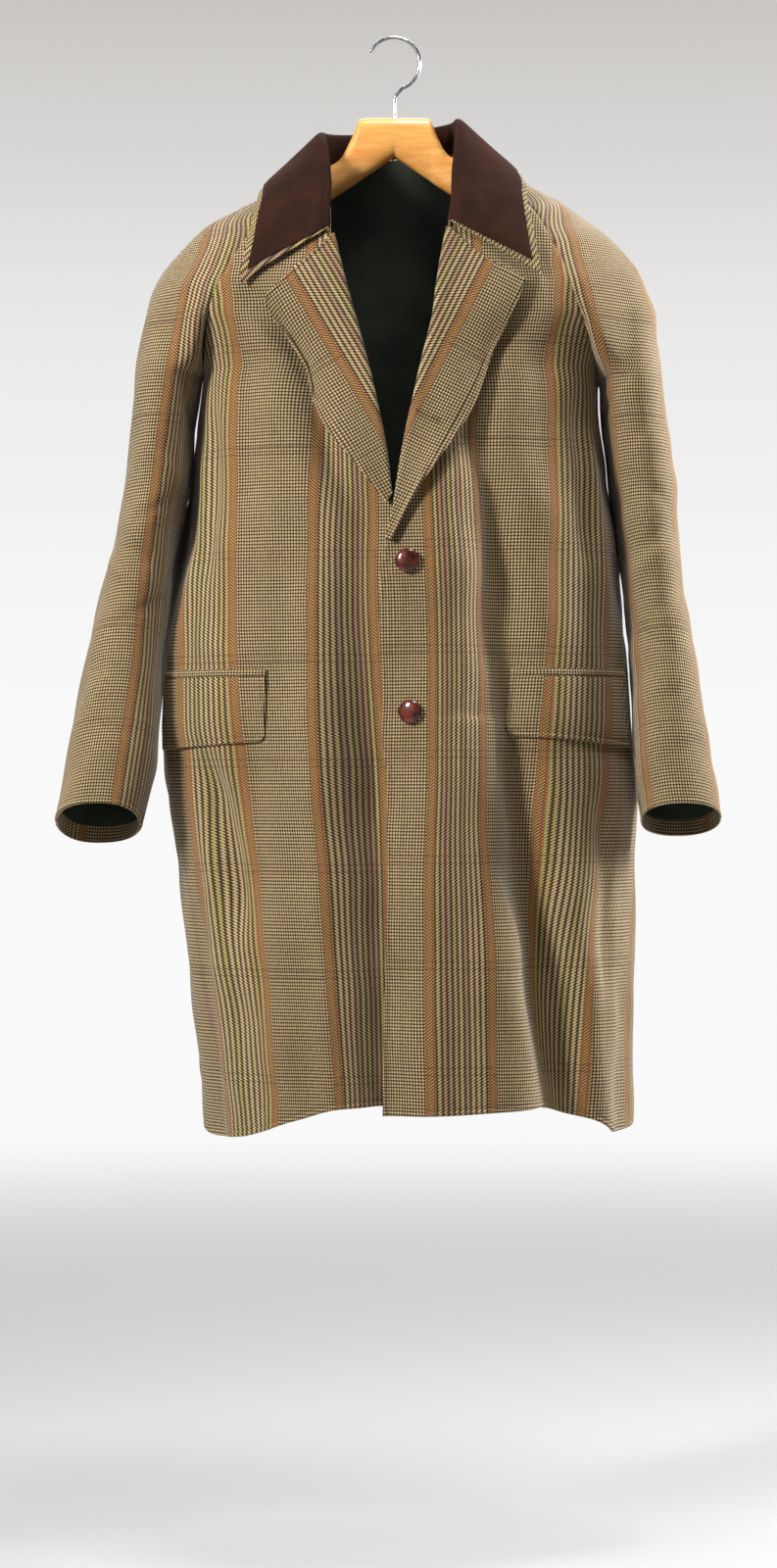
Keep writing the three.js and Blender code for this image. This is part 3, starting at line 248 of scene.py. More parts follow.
# %% [markdown]
# The front edges swing as the coat hangs and the hem rises and falls, so both are tables too.

# %% Front edges and hem
FRONT_EDGE = {
    "right": table("""
z x
-378 -30
-423 -20
-491 -6.5
-533 0
-560 16
-590 36
-625 47
-700 50
-1220 50
"""),
    "left": table("""
z x
-382 30
-423 20.9
-469 11.4
-533 0.8
-560 -5.5
-600 -13
-643 -14.9
-700 -13.5
-784 -10.7
-828 -6.5
-905 -6.5
-1006 -8.6
-1081 -11.7
-1220 -14
"""),
}
HEM_LEVEL = {
    "right": table("""
turn z
-90 -1204
-70 -1213
-50 -1209
-38 -1200
-26 -1188
-12 -1175
20 -1170
"""),
    "left": table("""
turn z
-20 -1187
10 -1182
24 -1179
38 -1176
50 -1188
68 -1208
90 -1203
"""),
    "back": table("""
turn z
90 -1203
180 -1200
270 -1204
"""),
}
print("hem levels given:", sum(len(rows["z"]) for rows in HEM_LEVEL.values()))

# %% [markdown]
# A sleeve is a tube: its outer and inner distance from the coat's middle, how far forward it
# lies, its depth, and the pitch in degrees by which its sections tilt.

# %% Sections of the sleeves
SLEEVE = {
    "right": table("""
z outer inner mid depth pitch
-300 272 200 -4 78 0
-378 287 212.5 -2 84 0
-430 292 221 0 86 2
-500 298 227 0 84 4
-560 309 238 -5 80 8
-620 324 246 -15 75 12
-680 336 253 -31 69 16
-740 347 256 -52 62 20
-800 357 258 -75 55 24
-871 367 275 -98 50 27
"""),
    "left": table("""
z outer inner mid depth pitch
-300 287 212 -4 78 0
-382 298 227.5 -2 84 0
-430 304 231 0 86 2
-500 314 240 0 84 4
-560 316 248 -5 80 8
-620 321 254 -15 75 11
-680 331 259 -31 69 14
-740 338 262 -52 62 17
-800 346 262 -75 55 20
-867 356 267 -98 50 22
"""),
}
print("sections of a sleeve:", len(SLEEVE["left"]["z"]))

# %% [markdown]
# ## Folds and creases
#
# Heavy tweed falls in a few long, soft waves. Each row below is one trough (negative depth) or
# ridge: where it starts and ends round the coat, the levels it runs between, its half width in
# degrees and its depth. The frame has the folds of the first table too. The second deepens them
# and adds creases, uneven on purpose in length, depth and spacing, that fade at both ends.

# %% Folds round the body
FOLDS = table("""
top_turn low_turn top low width depth
24 41 -760 -1260 9 -26
42 52 -820 -1260 9 12
-22 -17 -800 -1260 10 -16
-30 -34 -850 -1260 8 10
-62 -66 -860 -1240 7 -9
72 70 -900 -1260 8 -8
128 122 -640 -1260 10 -17
152 150 -800 -1260 9 11
184 188 -560 -1260 12 -14
228 234 -700 -1260 10 -18
208 211 -860 -1260 8 10
21 16 -400 -760 6 -5
""")
CREASES = table("""
top_turn low_turn top low width depth
-32 -7 -262 -580 5.5 -20
25 17 -280 -520 6 -9
-7 -4 -430 -980 5 -15
-3 -0.6 -600 -1450 4.8 -24
-17 -14 -500 -1400 5.5 12
-22 -17 -790 -1750 9 14
-33 -40 -620 -1400 6 -7
21 30 -400 -1000 6.5 -23
25 59 -760 -1420 7 -26
8 18 -460 -930 7 9
14 47 -830 -1420 7 13
-54 -42 -770 -1010 6 -14
56 60 -800 -1100 5 -8
-107 -107 -370 -990 9 24
107 107 -370 -1010 9 15
-107 -107 -374 -505 8 5.5
107 107 -374 -505 8 6.5
-91 -91 -290 -960 8 4.5
91 91 -310 -900 8 2
-79 -76 -560 -940 8 11
80 77 -590 -900 8 5
107 107 -372 -470 8 3
-107 -107 -372 -450 8 2
22 17 -380 -840 2.6 -2.6
-46 -42 -300 -560 4.5 -3.4
-34 -31 -330 -640 3.5 1.6
-66 -58 -372 -640 4.5 -5
-74 -69 -380 -720 4 3
61 55 -372 -620 4.5 -4.2
70 66 -384 -700 4 2.8
40 43 -300 -540 5 -3
-9 -11 -640 -1130 3 -2.2
-44 -47 -800 -1180 4 -4.5
-54 -58 -820 -1190 3.4 3.2
10 9 -760 -1170 3 1.8
60 62 -800 -1190 3.6 3.6
33 35 -480 -760 4.5 -2
-26 -24 -560 -860 4 -2.2
112 117 -374 -640 4.5 -5
104 106 -390 -700 3.6 3
247 243 -374 -660 4.5 -4.6
256 254 -386 -700 3.8 3.2
165 168 -300 -620 6 -2.6
198 201 -340 -700 6 -3.2
140 137 -760 -1160 4 3.6
172 170 -820 -1190 4.5 4
218 222 -760 -1180 4 4.6
244 250 -820 -1190 4 -5
100 98 -840 -1190 4.5 -6
""")
FOLD_FADE, CREASE_FADE = 1.4, 3  # how many times faster than its length a wave grows


def wave_depth(rows, turn, z, fade, fades_low):
    depth = np.zeros(np.broadcast(turn, z).shape)
    for top_turn, low_turn, top, low, width, height in zip(*rows.values()):
        along = (top - z) / (top - low)
        inside = (along > 0) & (along < 1)
        away = (turn - lerp(top_turn, low_turn, along) + 540) % 360 - 180
        strength = smooth(along * fade)
        if fades_low:
            strength = strength * smooth((1 - along) * fade)
        depth = depth + np.where(inside, height * np.exp(-((away / width) ** 2)) * strength, 0)
    return depth


def fold_depth(turn, z, creased=True):
    whole_turn = (turn + 360) % 360
    depth = wave_depth(FOLDS, whole_turn, z, FOLD_FADE, False)
    if creased:
        depth = depth + wave_depth(CREASES, whole_turn, z, CREASE_FADE, True)
    return depth


print("folds:", len(FOLDS["top"]), "and creases:", len(CREASES["top"]))

# %% [markdown]
# ## The body as a function
#
# A place on the coat is a turn in degrees, 0 in front and 90 at the wearer's left, and a level. The
# section at each level is a superellipse, rounder than a box and squarer than an oval, with the
# folds added along its own radius.

# %% Points and normals on the body
read_body = {name: curve(BODY, "z", name) for name in BODY if name != "z"}
read_shoulder = {side: curve(SHOULDER, "z", side) for side in SIDES}
SHOULDER_TOP = SHOULDER["z"][0]


def signed_power(value, power):
    return np.sign(value) * np.abs(value) ** power


def half_width(side, z, over_sleeves):
    width = read_body[side](z)
    if over_sleeves:
        width = np.where(z < SHOULDER_TOP, read_shoulder[side](z), width)
    return width


def body_point(turn, z, over_sleeves=False, creased=True):
    turn, z = np.broadcast_arrays(np.asarray(turn, float), np.asarray(z, float))
    sine, cosine = np.sin(np.radians(turn)), np.cos(np.radians(turn))
    power = 2 / read_body["power"](z)
    right, left = (half_width(side, z, over_sleeves) for side in SIDES)
    width = np.where(sine < 0, right, left)
    depth = np.where(cosine > 0, read_body["front"](z), read_body["back"](z))
    fold = fold_depth(turn, z, creased)
    x = width * signed_power(sine, power) + fold * sine
    y = read_body["mid"](z) - depth * signed_power(cosine, power) - fold * cosine
    return np.stack([x, y, z], axis=-1)


def turn_at(x, z, back=False):
    """The turn at which the front, or the back, of the body lies at a given x."""
    x, z = np.broadcast_arrays(np.asarray(x, float), np.asarray(z, float))
    width = np.where(x < 0, half_width("right", z, False), half_width("left", z, False))
    share = np.clip(np.abs(x) / width, 0, 1) ** (read_body["power"](z) / 2)
    turn = np.sign(x) * np.degrees(np.arcsin(share))
    return 180 - turn if back else turn


def unit(vectors):
    length = np.linalg.norm(vectors, axis=-1, keepdims=True)
    return vectors / np.maximum(length, 1e-9)


TURN_STEP = 0.6
LEVEL_STEP = 2.0


def body_normal(turn, z):
    around = body_point(turn + TURN_STEP, z) - body_point(turn - TURN_STEP, z)
    up = body_point(turn, z + LEVEL_STEP) - body_point(turn, z - LEVEL_STEP)
    return unit(np.cross(around, up))


def over_body(turn, z, out):
    out = np.asarray(out, float)
    return body_point(turn, z) + body_normal(turn, z) * out[..., None]


print("chest, half width at the underarm:", float(read_body["left"](-382)), "mm")

# %% [markdown]
# ## Walls of cloth
#
# Every cloth piece is a thin closed wall: an outer grid of points, the same grid moved in by the
# cloth's thickness, and a rim that joins them. A subdivision surface could round a coarse cage
# instead, but then the seams would drift. Points worked out densely stay exactly on the draft. The
# UV map holds real metres of cloth, so a woven pattern keeps its scale on every piece.

# %% Building a wall
def grid_faces(rows, columns, first, flip, closed):
    strips = columns if closed else columns - 1
    i, j = np.meshgrid(np.arange(rows - 1), np.arange(strips), indexing="ij")
    right = (j + 1) % columns
    here, under = i * columns, (i + 1) * columns
    corners = [here + j, here + right, under + right, under + j]
    faces = np.stack(corners, axis=-1).reshape(-1, 4) + first
    return faces[:, ::-1] if flip else faces


def rim_faces(edge, lift):
    """Faces between a line of the outer grid's points and the same points of the inner grid."""
    return np.stack([edge[:-1], edge[:-1] + lift, edge[1:] + lift, edge[1:]], axis=-1)


def signed_volume(points, faces):
    a, b, c, d = (points[faces[:, k]] for k in range(4))
    return float(np.sum(a * np.cross(b, c)) + np.sum(a * np.cross(c, d)))


print("faces in a grid of 3 by 4 points:", len(grid_faces(3, 4, 0, False, False)))

# %% [markdown]
# The UV map holds a place for every corner of every face, in the faces' own order. A negative
# volume means that the faces look inwards, and then each one is turned round.

# %% A mesh with its UV map
CLOTH_SHARP = 38  # an edge of cloth bent by more degrees than this is shaded as sharp


def new_mesh(name, points, faces, uv, slots, materials):
    """A mesh object from points in millimetres, with a UV map called cloth and its materials."""
    if signed_volume(points, faces) < 0:
        faces = faces[:, ::-1]
    mesh = bpy.data.meshes.new(name)
    mesh.from_pydata((points * MM).tolist(), [], faces.tolist())
    layer = mesh.uv_layers.new(name="cloth")
    layer.data.foreach_set("uv", uv[faces.ravel()].astype(np.float32).ravel())
    for material in materials:
        mesh.materials.append(material)
    mesh.polygons.foreach_set("material_index", np.asarray(slots, np.int32))
    mesh.polygons.foreach_set("use_smooth", np.ones(len(faces), bool))
    mesh.set_sharp_from_angle(angle=math.radians(CLOTH_SHARP))
    mesh.update()
    return add_object(name, mesh)


print("cloth is drawn sharp where it bends by more than", CLOTH_SHARP, "degrees")

# %% [markdown]
# The wall is the outer grid, the inner grid turned the other way, and the rims. A tube's grid
# closes on itself, so it has no rims at its sides.

# %% A wall between two grids
surfaces = {}  # the outer grid of each piece, by the name of the piece


def wall(name, outer, inner, uv, materials, closed=False, inside=None):
    """A closed wall between two grids. inside picks the inner faces with the second material."""
    surfaces[name] = outer
    if closed:
        outer, inner, uv = outer[:, :-1], inner[:, :-1], uv[:, :-1]
    rows, columns = outer.shape[:2]
    count = rows * columns
    points = np.concatenate([outer.reshape(-1, 3), inner.reshape(-1, 3)])
    uv = np.concatenate([uv.reshape(-1, 2)] * 2)
    front = grid_faces(rows, columns, 0, False, closed)
    behind = grid_faces(rows, columns, count, True, closed)
    index = np.arange(count).reshape(rows, columns)
    first, last = index[0], index[-1]
    if closed:
        first, last = np.append(first, first[0]), np.append(last, last[0])
    rims = [rim_faces(first, count), rim_faces(last, count)[:, ::-1]]
    if not closed:
        rims += [rim_faces(index[:, 0], count)[:, ::-1], rim_faces(index[:, -1], count)]
    faces = np.concatenate([front, behind, *rims])
    slots = np.zeros(len(faces), np.int32)
    if inside is not None:
        slots[len(front):len(front) + len(behind)] = inside.ravel()
    return new_mesh(name, points, faces, uv, slots, materials)


print("pieces so far:", len(surfaces))

# %% [markdown]
# Points lie closer together beside an edge that is rounded and stitched than on plain cloth.

# %% Spacing and measuring
BESIDE_EDGE = np.array([0, 0.35, 0.9, 1.8, 2.8, 3.8, 4.7, 5.6, 6.5, 7.6, 9.4])
EDGE_ZONE = 12


def steps(length, spacing, fine_start=False, fine_end=False):
    """Shares from 0 to 1 along a length in millimetres, closer together beside a finished edge."""
    close, zone = BESIDE_EDGE / length, EDGE_ZONE / length
    middle = np.linspace(0, 1, max(int(length / spacing), 2) + 1)
    shares = [middle[(middle > zone) & (middle < 1 - zone)]]
    shares.append(close if fine_start else middle[middle <= zone])
    shares.append(1 - close if fine_end else middle[middle >= 1 - zone])
    return np.unique(np.round(np.concatenate(shares), 9))


def line_lengths(grid, axis):
    """How far along each line of a grid its points lie, in millimetres."""
    step = np.linalg.norm(np.diff(grid, axis=axis), axis=-1)
    start = np.zeros_like(np.take(step, [0], axis=axis))
    return np.concatenate([start, np.cumsum(step, axis=axis)], axis=axis)


def grid_normals(grid, facing=1):
    across = np.gradient(grid, axis=1)
    along = np.gradient(grid, axis=0)
    return unit(np.cross(across, along)) * facing


print("lines across 100 mm of cloth:", len(steps(100, 5, fine_end=True)))

# %% [markdown]
# ## Edges and seams
#
# A finished edge is a fold with a row of stitches near it. It is round, it puffs a little, and it
# is drawn in along the stitches. A plain seam is a shallow valley. Both are given as a height over
# the panel, by distance from the edge, and this small relief is what makes cloth look sewn.

# %% Relief by distance from an edge
EDGE_ROUND = 1.1
STITCH_INSET = 5.6


def edge_relief(distance):
    inside = np.clip(EDGE_ROUND - distance, 0, EDGE_ROUND)
    rounding = EDGE_ROUND - np.sqrt(EDGE_ROUND**2 - inside**2)
    groove = 0.6 * np.exp(-(((distance - STITCH_INSET) / 1.2) ** 2))
    puff = 0.35 * np.exp(-(((distance - 2.9) / 1.5) ** 2))
    return puff - rounding - groove


def seam_relief(distance):
    valley = 0.95 * np.exp(-((distance / 2.4) ** 2))
    puff = 0.25 * np.exp(-(((distance - 5) / 2.5) ** 2))
    return puff - valley


SLACK_WAVES = ((61, 0.5, 0.55), (93, 2.1, 0.45), (47, 4.0, 0.25), (131, 5.2, 0.5))


def slack(u, v, seed):
    """A faint unevenness of the whole surface: waves by length, direction and height."""
    height = 0.0
    for k, (length, turn, size) in enumerate(SLACK_WAVES):
        phase = seed * 1.7 + k
        across = u * math.cos(turn + seed) + v * math.sin(turn + seed)
        height = height + size * np.sin(2 * math.pi * across / length + phase)
    return height


print("a seam's depth:", round(float(seam_relief(0.0)), 2), "mm")

# %% [markdown]
# ## Where the woven bands run
#
# The cloth has wide upright bands. On the coat they lean, spread and close up with the folds, so a
# plain measure of distance isn't enough: the tables name the levels at which a band's edge was
# placed, and how far from the middle it lies there. Between those lines the pattern is spread
# evenly, and past them it goes on at its true scale.

# %% Band edges on the fronts and sleeves
STRIPE_WIDE = 63.5  # between the middles of the two rust lines that bound a striped band
REPEAT = 152.0  # the whole repeat: a striped band and a checked band
BAND_EDGES = {
    "right": table("""
z first second third fourth
-200 22 89 176 238
-486 23 88 175.5 238
-633 23.4 86.5 175.4 238
-740 17 85 171 238
-841 10.7 80 163 229
-905 8.6 73 157 219
-1037 6 63 141 203
-1170 4 53 127 191
"""),
    "left": table("""
z first second third fourth
-200 32 88.2 173.4 240
-486 34.5 88.2 173.4 240
-633 40.8 86 172.3 239.6
-740 42 87 166 236
-841 41.5 90.6 159 230.6
-905 38.5 95 157.5 223.5
-1037 38 102.3 162.7 209.7
-1170 40.5 105.4 166 203.4
"""),
}
BAND_MARKS = np.array([0, STRIPE_WIDE, REPEAT, REPEAT + STRIPE_WIDE])
BAND_SQUEEZE = (0.82, 1.22)  # how far a band may close up or spread
OVERCHECK_AT = {"right": 580.7, "left": 571.0, "back": 574.0}
PATTERN_LEVELS = np.arange(-1224.0, -120.0, 4.0)
PATTERN_TURNS = np.linspace(-28.0, 102.0, 260)


print("the pattern repeats every", REPEAT, "mm")

# %% [markdown]
# At each level the cloth between the marks is measured along the body, and the whole table is
# evened out a little, so that no band has a step in it.

# %% The pattern across the fronts
def settle(values, reach):
    """Evens out a table along its first axis, over a few rows each way."""
    offsets = np.arange(-2 * reach, 2 * reach + 1)
    weights = np.exp(-((offsets / reach) ** 2))
    padded = np.concatenate([values[:1]] * (2 * reach) + [values] + [values[-1:]] * (2 * reach))
    rows = len(values)
    return sum(w * padded[k:k + rows] for k, w in enumerate(weights)) / weights.sum()


def band_table(side):
    """Metres across the cloth at each level and turn of a front."""
    reads = [curve(BAND_EDGES[side], "z", name) for name in BAND_EDGES[side] if name != "z"]
    rows = []
    for z in PATTERN_LEVELS:
        points = body_point(PATTERN_TURNS * SIGN[side], z, creased=False)
        x = points[:, 0] * SIGN[side]
        length = line_lengths(points[None], 1)[0]
        length = length - np.interp(0, PATTERN_TURNS, length)
        widest = int(np.argmax(x))
        marks = np.array([read(z) for read in reads])
        beyond = np.maximum(marks - x[widest], 0)
        seen = slice(0, widest + 1)
        places = np.interp(np.minimum(marks, x[widest]), x[seen], length[seen]) + beyond
        for k, band in enumerate(np.diff(BAND_MARKS), start=1):
            least, most = (share * band for share in BAND_SQUEEZE)
            places[k] = places[k - 1] + np.clip(places[k] - places[k - 1], least, most)
        across = np.interp(length, places, BAND_MARKS)
        across += np.minimum(length - places[0], 0) + np.maximum(length - places[-1], 0)
        rows.append(across)
    return settle(np.array(rows), 9)


band_tables = {side: band_table(side) for side in SIDES}


def look_up(values, row, column):
    """Reads a grid of values between its points."""
    rows, columns = values.shape[:2]
    row = np.clip(row, 0, rows - 1.001)
    column = np.clip(column, 0, columns - 1.001)
    i, j = row.astype(int), column.astype(int)
    a, b = row - i, column - j
    if values.ndim == 3:
        a, b = a[..., None], b[..., None]
    top = values[i, j] * (1 - b) + values[i, j + 1] * b
    foot = values[i + 1, j] * (1 - b) + values[i + 1, j + 1] * b
    return top * (1 - a) + foot * a


print("levels in a band table:", len(band_tables["left"]))

# %% [markdown]
# Lines across the coat stay level, so the measure down the cloth depends on the level alone.

# %% The pattern down the coat
slope_levels = np.arange(-1230.0, -100.0, 2.0)


def drape_lengths(side):
    """Length down the cloth from the top, at each level, with the slope of the chest counted in."""
    depth = read_body["back" if side == "back" else "front"](slope_levels)
    step = np.hypot(np.diff(depth), np.diff(slope_levels))
    return np.concatenate([[0], np.cumsum(step)])


drapes = {side: drape_lengths(side) for side in ("right", "left", "back")}


def pattern_down(side, z):
    """Millimetres down the cloth, with an overcheck line at 0."""
    lengths = drapes[side]
    zero = np.interp(-OVERCHECK_AT[side], slope_levels, lengths)
    return zero - np.interp(z, slope_levels, lengths)


def front_pattern(side, turn, z):
    row = (z - PATTERN_LEVELS[0]) / (PATTERN_LEVELS[1] - PATTERN_LEVELS[0])
    share = (turn * SIGN[side] - PATTERN_TURNS[0]) / np.ptp(PATTERN_TURNS)
    across = look_up(band_tables[side], row, share * (len(PATTERN_TURNS) - 1))
    return np.stack([across, pattern_down(side, z)], axis=-1) * MM


across_hem = float(np.ptp(band_tables["left"][8]))
print("cloth across the left front at the hem:", round(across_hem), "mm")

# %% [markdown]
# ## Writing a material
#
# A procedural material is arithmetic on the UV map. Written out node by node that is long and hard
# to read, so a small helper adds a node for each step and joins it up. Every value is either a
# number or the output of an earlier step.

# %% A helper for node trees
class Recipe:
    """Adds shader nodes as short steps. Every value is a number, a colour or an output."""

    def __init__(self, name):
        self.material = bpy.data.materials.new(name)
        self.material.use_nodes = True
        self.tree = self.material.node_tree
        self.tree.nodes.clear()

    def node(self, kind, **settings):
        made = self.tree.nodes.new(kind)
        for name, value in settings.items():
            setattr(made, name, value)
        return made

    def feed(self, socket, value):
        if isinstance(value, bpy.types.NodeSocket):
            self.tree.links.new(value, socket)
        else:
            socket.default_value = value

    def maths(self, operation, *values):
        made = self.node("ShaderNodeMath", operation=operation)
        for k, value in enumerate(values):
            self.feed(made.inputs[k], value)
        return made.outputs[0]

    def add(self, a, b):
        return self.maths("ADD", a, b)

    def times(self, a, b):
        return self.maths("MULTIPLY", a, b)

    def fraction(self, value, period):
        """How far through its period a value is, from 0 to 1."""
        return self.maths("FRACT", self.maths("DIVIDE", value, period))

    def number(self, value, period):
        return self.maths("FLOOR", self.maths("DIVIDE", value, period))

    def away(self, value, middle):
        return self.maths("ABSOLUTE", self.maths("SUBTRACT", value, middle))

    def ramp(self, value, low, high, start=0.0, end=1.0, soft=True):
        made = self.node("ShaderNodeMapRange", clamp=True)
        made.interpolation_type = "SMOOTHSTEP" if soft else "LINEAR"
        for socket, number in zip(made.inputs[:5], (value, low, high, start, end)):
            self.feed(socket, number)
        return made.outputs[0]

    def mix(self, share, first, second, blend="MIX"):
        made = self.node("ShaderNodeMix", data_type="RGBA", blend_type=blend)
        self.feed(made.inputs[0], share)
        self.feed(made.inputs[6], first)
        self.feed(made.inputs[7], second)
        return made.outputs[2]

    def noise(self, place, scale, detail=2.0, roughness=0.5):
        made = self.node("ShaderNodeTexNoise")
        self.feed(made.inputs["Vector"], place)
        self.feed(made.inputs["Scale"], scale)
        self.feed(made.inputs["Detail"], detail)
        self.feed(made.inputs["Roughness"], roughness)
        return made.outputs["Fac"]

    def chance(self, value):
        """A number from 0 to 1 that is fixed for each whole value."""
        made = self.node("ShaderNodeTexWhiteNoise", noise_dimensions="1D")
        self.feed(made.inputs["W"], value)
        return made.outputs["Value"]

    def cloth_uv(self):
        return self.node("ShaderNodeUVMap", uv_map="cloth").outputs[0]

    def place(self, scale=(1, 1, 1)):
        mapping = self.node("ShaderNodeMapping")
        self.feed(mapping.inputs["Vector"], self.node("ShaderNodeTexCoord").outputs["Object"])
        mapping.inputs["Scale"].default_value = scale
        return mapping.outputs[0]

    def split(self, vector):
        made = self.node("ShaderNodeSeparateXYZ")
        self.feed(made.inputs[0], vector)
        return made.outputs[0], made.outputs[1]

    def join(self, x, y, z=0.0):
        made = self.node("ShaderNodeCombineXYZ")
        for k, value in enumerate((x, y, z)):
            self.feed(made.inputs[k], value)
        return made.outputs[0]

    def bump(self, height, distance, strength):
        made = self.node("ShaderNodeBump")
        self.feed(made.inputs["Height"], height)
        made.inputs["Distance"].default_value = distance
        made.inputs["Strength"].default_value = strength
        return made.outputs[0]

    def surface(self, color, roughness, normal=None, **constants):
        shader = self.node("ShaderNodeBsdfPrincipled")
        self.feed(shader.inputs["Base Color"], color)
        self.feed(shader.inputs["Roughness"], roughness)
        if normal is not None:
            self.feed(shader.inputs["Normal"], normal)
        for name, value in constants.items():
            shader.inputs[name.replace("_", " ")].default_value = value
        return self.show(shader)

    def show(self, shader):
        output = self.node("ShaderNodeOutputMaterial")
        self.feed(output.inputs[0], shader.outputs[0])
        return self.material


def rgb(red, green, blue):
    """A colour given as screen values from 0 to 255, as the linear colour that nodes use."""
    def linear(value):
        value = value / 255
        return value / 12.92 if value <= 0.04045 else ((value + 0.055) / 1.055) ** 2.4
    return (linear(red), linear(green), linear(blue), 1.0)


print("mid grey on the screen is", round(rgb(128, 128, 128)[0], 3), "in light")

# %% [markdown]
# ## Tweed
#
# The cloth alternates two bands. One is a small check, cream on brown, three millimetres across.
# The other is a stripe of slanted strokes like rope, in cream, straw and ash on olive and brown. A
# pair of rust lines bounds each striped band, and every eleven centimetres a pair of thin wine-red
# lines crosses everything. Yarns differ a little, so noise shifts their place and shade. Each part
# of the pattern is a function of its own.

# %% The weave's sizes, colours and patterns
CHECK_ACROSS, CHECK_DOWN = 3.0, 3.6
ROPE_ACROSS, ROPE_DOWN = 5.75, 3.4
ROPE_SLANT = 2.8
RUST_HALF, RUST_APART = 5.2, 2.95
OVERCHECK, OVERCHECK_SPLIT = 113.0, 3.8
STROKE_EDGE, DOT_EDGE = (0.2, 0.31), (0.22, 0.34)  # where a light stroke or dot fades out
TAIL_EDGE, RUST_EDGE = (0.04, 0.14), (0.55, 1.15)
DOT_MIDDLE = 0.45
DARK_SEED, TINT_SEED = 40.3, 7.7  # keep the yarns' chances apart
CREAM, BLUSH = rgb(184, 159, 114), rgb(170, 143, 108)  # the dots of the check
BROWN, OLIVE = rgb(40, 23, 10), rgb(33, 25, 10)  # its ground
PALE, STRAW, ASH = rgb(172, 148, 106), rgb(158, 140, 86), rgb(150, 122, 92)  # the light strokes
INK, MOSS, UMBER = rgb(36, 25, 12), rgb(40, 34, 14), rgb(54, 29, 14)  # the dark strokes
RUST, WINE, STRAND = rgb(136, 48, 26), rgb(66, 22, 18), rgb(156, 128, 74)


def rope_strokes(r, u, v):
    """Slanted strokes like rope, each with its own light and dark yarn."""
    row = r.fraction(v, ROPE_DOWN)
    rope_u = r.add(u, r.times(r.add(row, -0.5), ROPE_SLANT))
    from_middle = r.away(r.fraction(rope_u, ROPE_ACROSS), 0.5)
    tapered = r.add(from_middle, r.times(r.away(row, 0.5), 0.1))
    stroke = r.ramp(tapered, *STROKE_EDGE, 1.0, 0.0)
    yarn = r.chance(r.number(rope_u, ROPE_ACROSS))
    next_u = r.add(rope_u, ROPE_ACROSS / 2)
    between = r.chance(r.add(r.number(next_u, ROPE_ACROSS), DARK_SEED))
    light = r.mix(r.ramp(yarn, 0.3, 0.5), STRAW, r.mix(r.ramp(yarn, 0.66, 0.8), PALE, ASH))
    dark = r.mix(r.ramp(between, 0.3, 0.5), MOSS, r.mix(r.ramp(between, 0.6, 0.8), INK, UMBER))
    return r.mix(stroke, dark, light), stroke


def small_check(r, u, v):
    """Dots with a thin tail between them, whose tint changes from yarn to yarn."""
    check_u, check_v = r.fraction(u, CHECK_ACROSS), r.fraction(v, CHECK_DOWN)
    dot_u = r.ramp(r.away(check_u, DOT_MIDDLE), *DOT_EDGE, 1.0, 0.0)
    dot_v = r.ramp(r.away(check_v, DOT_MIDDLE), *DOT_EDGE, 1.0, 0.0)
    slope = r.maths("FRACT", r.add(check_u, check_v))
    tail = r.ramp(r.away(slope, 0.5), *TAIL_EDGE, 0.45, 0.0)
    tail = r.times(tail, r.maths("MAXIMUM", dot_u, dot_v))
    dot = r.maths("MAXIMUM", r.times(dot_u, dot_v), tail)
    tint = r.chance(r.add(r.number(u, CHECK_ACROSS), TINT_SEED))
    dot_color = r.mix(r.ramp(tint, 0.55, 0.85, 0.0, 0.75), CREAM, BLUSH)
    ground = r.mix(r.ramp(tint, 0.2, 0.5, 0.7, 0.0), BROWN, OLIVE)
    return r.mix(dot, ground, dot_color), dot


def rust_pair(r, u, v, from_rust, color):
    """Two rust lines with toothed edges, and zigzag strands beside them."""
    teeth = r.times(r.away(r.fraction(v, ROPE_DOWN), 0.5), 1.3)
    rust_line = r.ramp(r.add(r.away(from_rust, RUST_APART), teeth), *RUST_EDGE, 1.0, 0.0)
    slant = r.fraction(r.add(v, r.times(u, 0.9)), ROPE_DOWN)
    zigzag = r.ramp(r.away(slant, 0.5), 0.2, 0.3)
    inside = r.ramp(from_rust, RUST_HALF - 0.4, RUST_HALF + 0.2, 1.0, 0.0)
    color = r.mix(inside, color, r.mix(zigzag, STRAND, UMBER))
    return r.mix(r.times(rust_line, 0.92), color, RUST)


def overcheck(r, u, v, color):
    """A pair of thin, broken wine lines across everything."""
    over = r.maths("FLOORED_MODULO", r.add(v, OVERCHECK / 2), OVERCHECK)
    line = r.ramp(r.away(r.away(over, OVERCHECK / 2), OVERCHECK_SPLIT), 0.3, 0.95, 1.0, 0.0)
    broken = r.away(r.fraction(r.add(u, v), CHECK_ACROSS), 0.5)
    return r.mix(r.times(line, r.ramp(broken, 0.1, 0.4, 0.7, 0.15)), color, WINE)


print("one check is", CHECK_ACROSS, "by", CHECK_DOWN, "mm")

# %% [markdown]
# The material lays the patterns over one another and shades them with a little woolly noise. The
# under collar shows rope strokes only, so it has a plainer version.

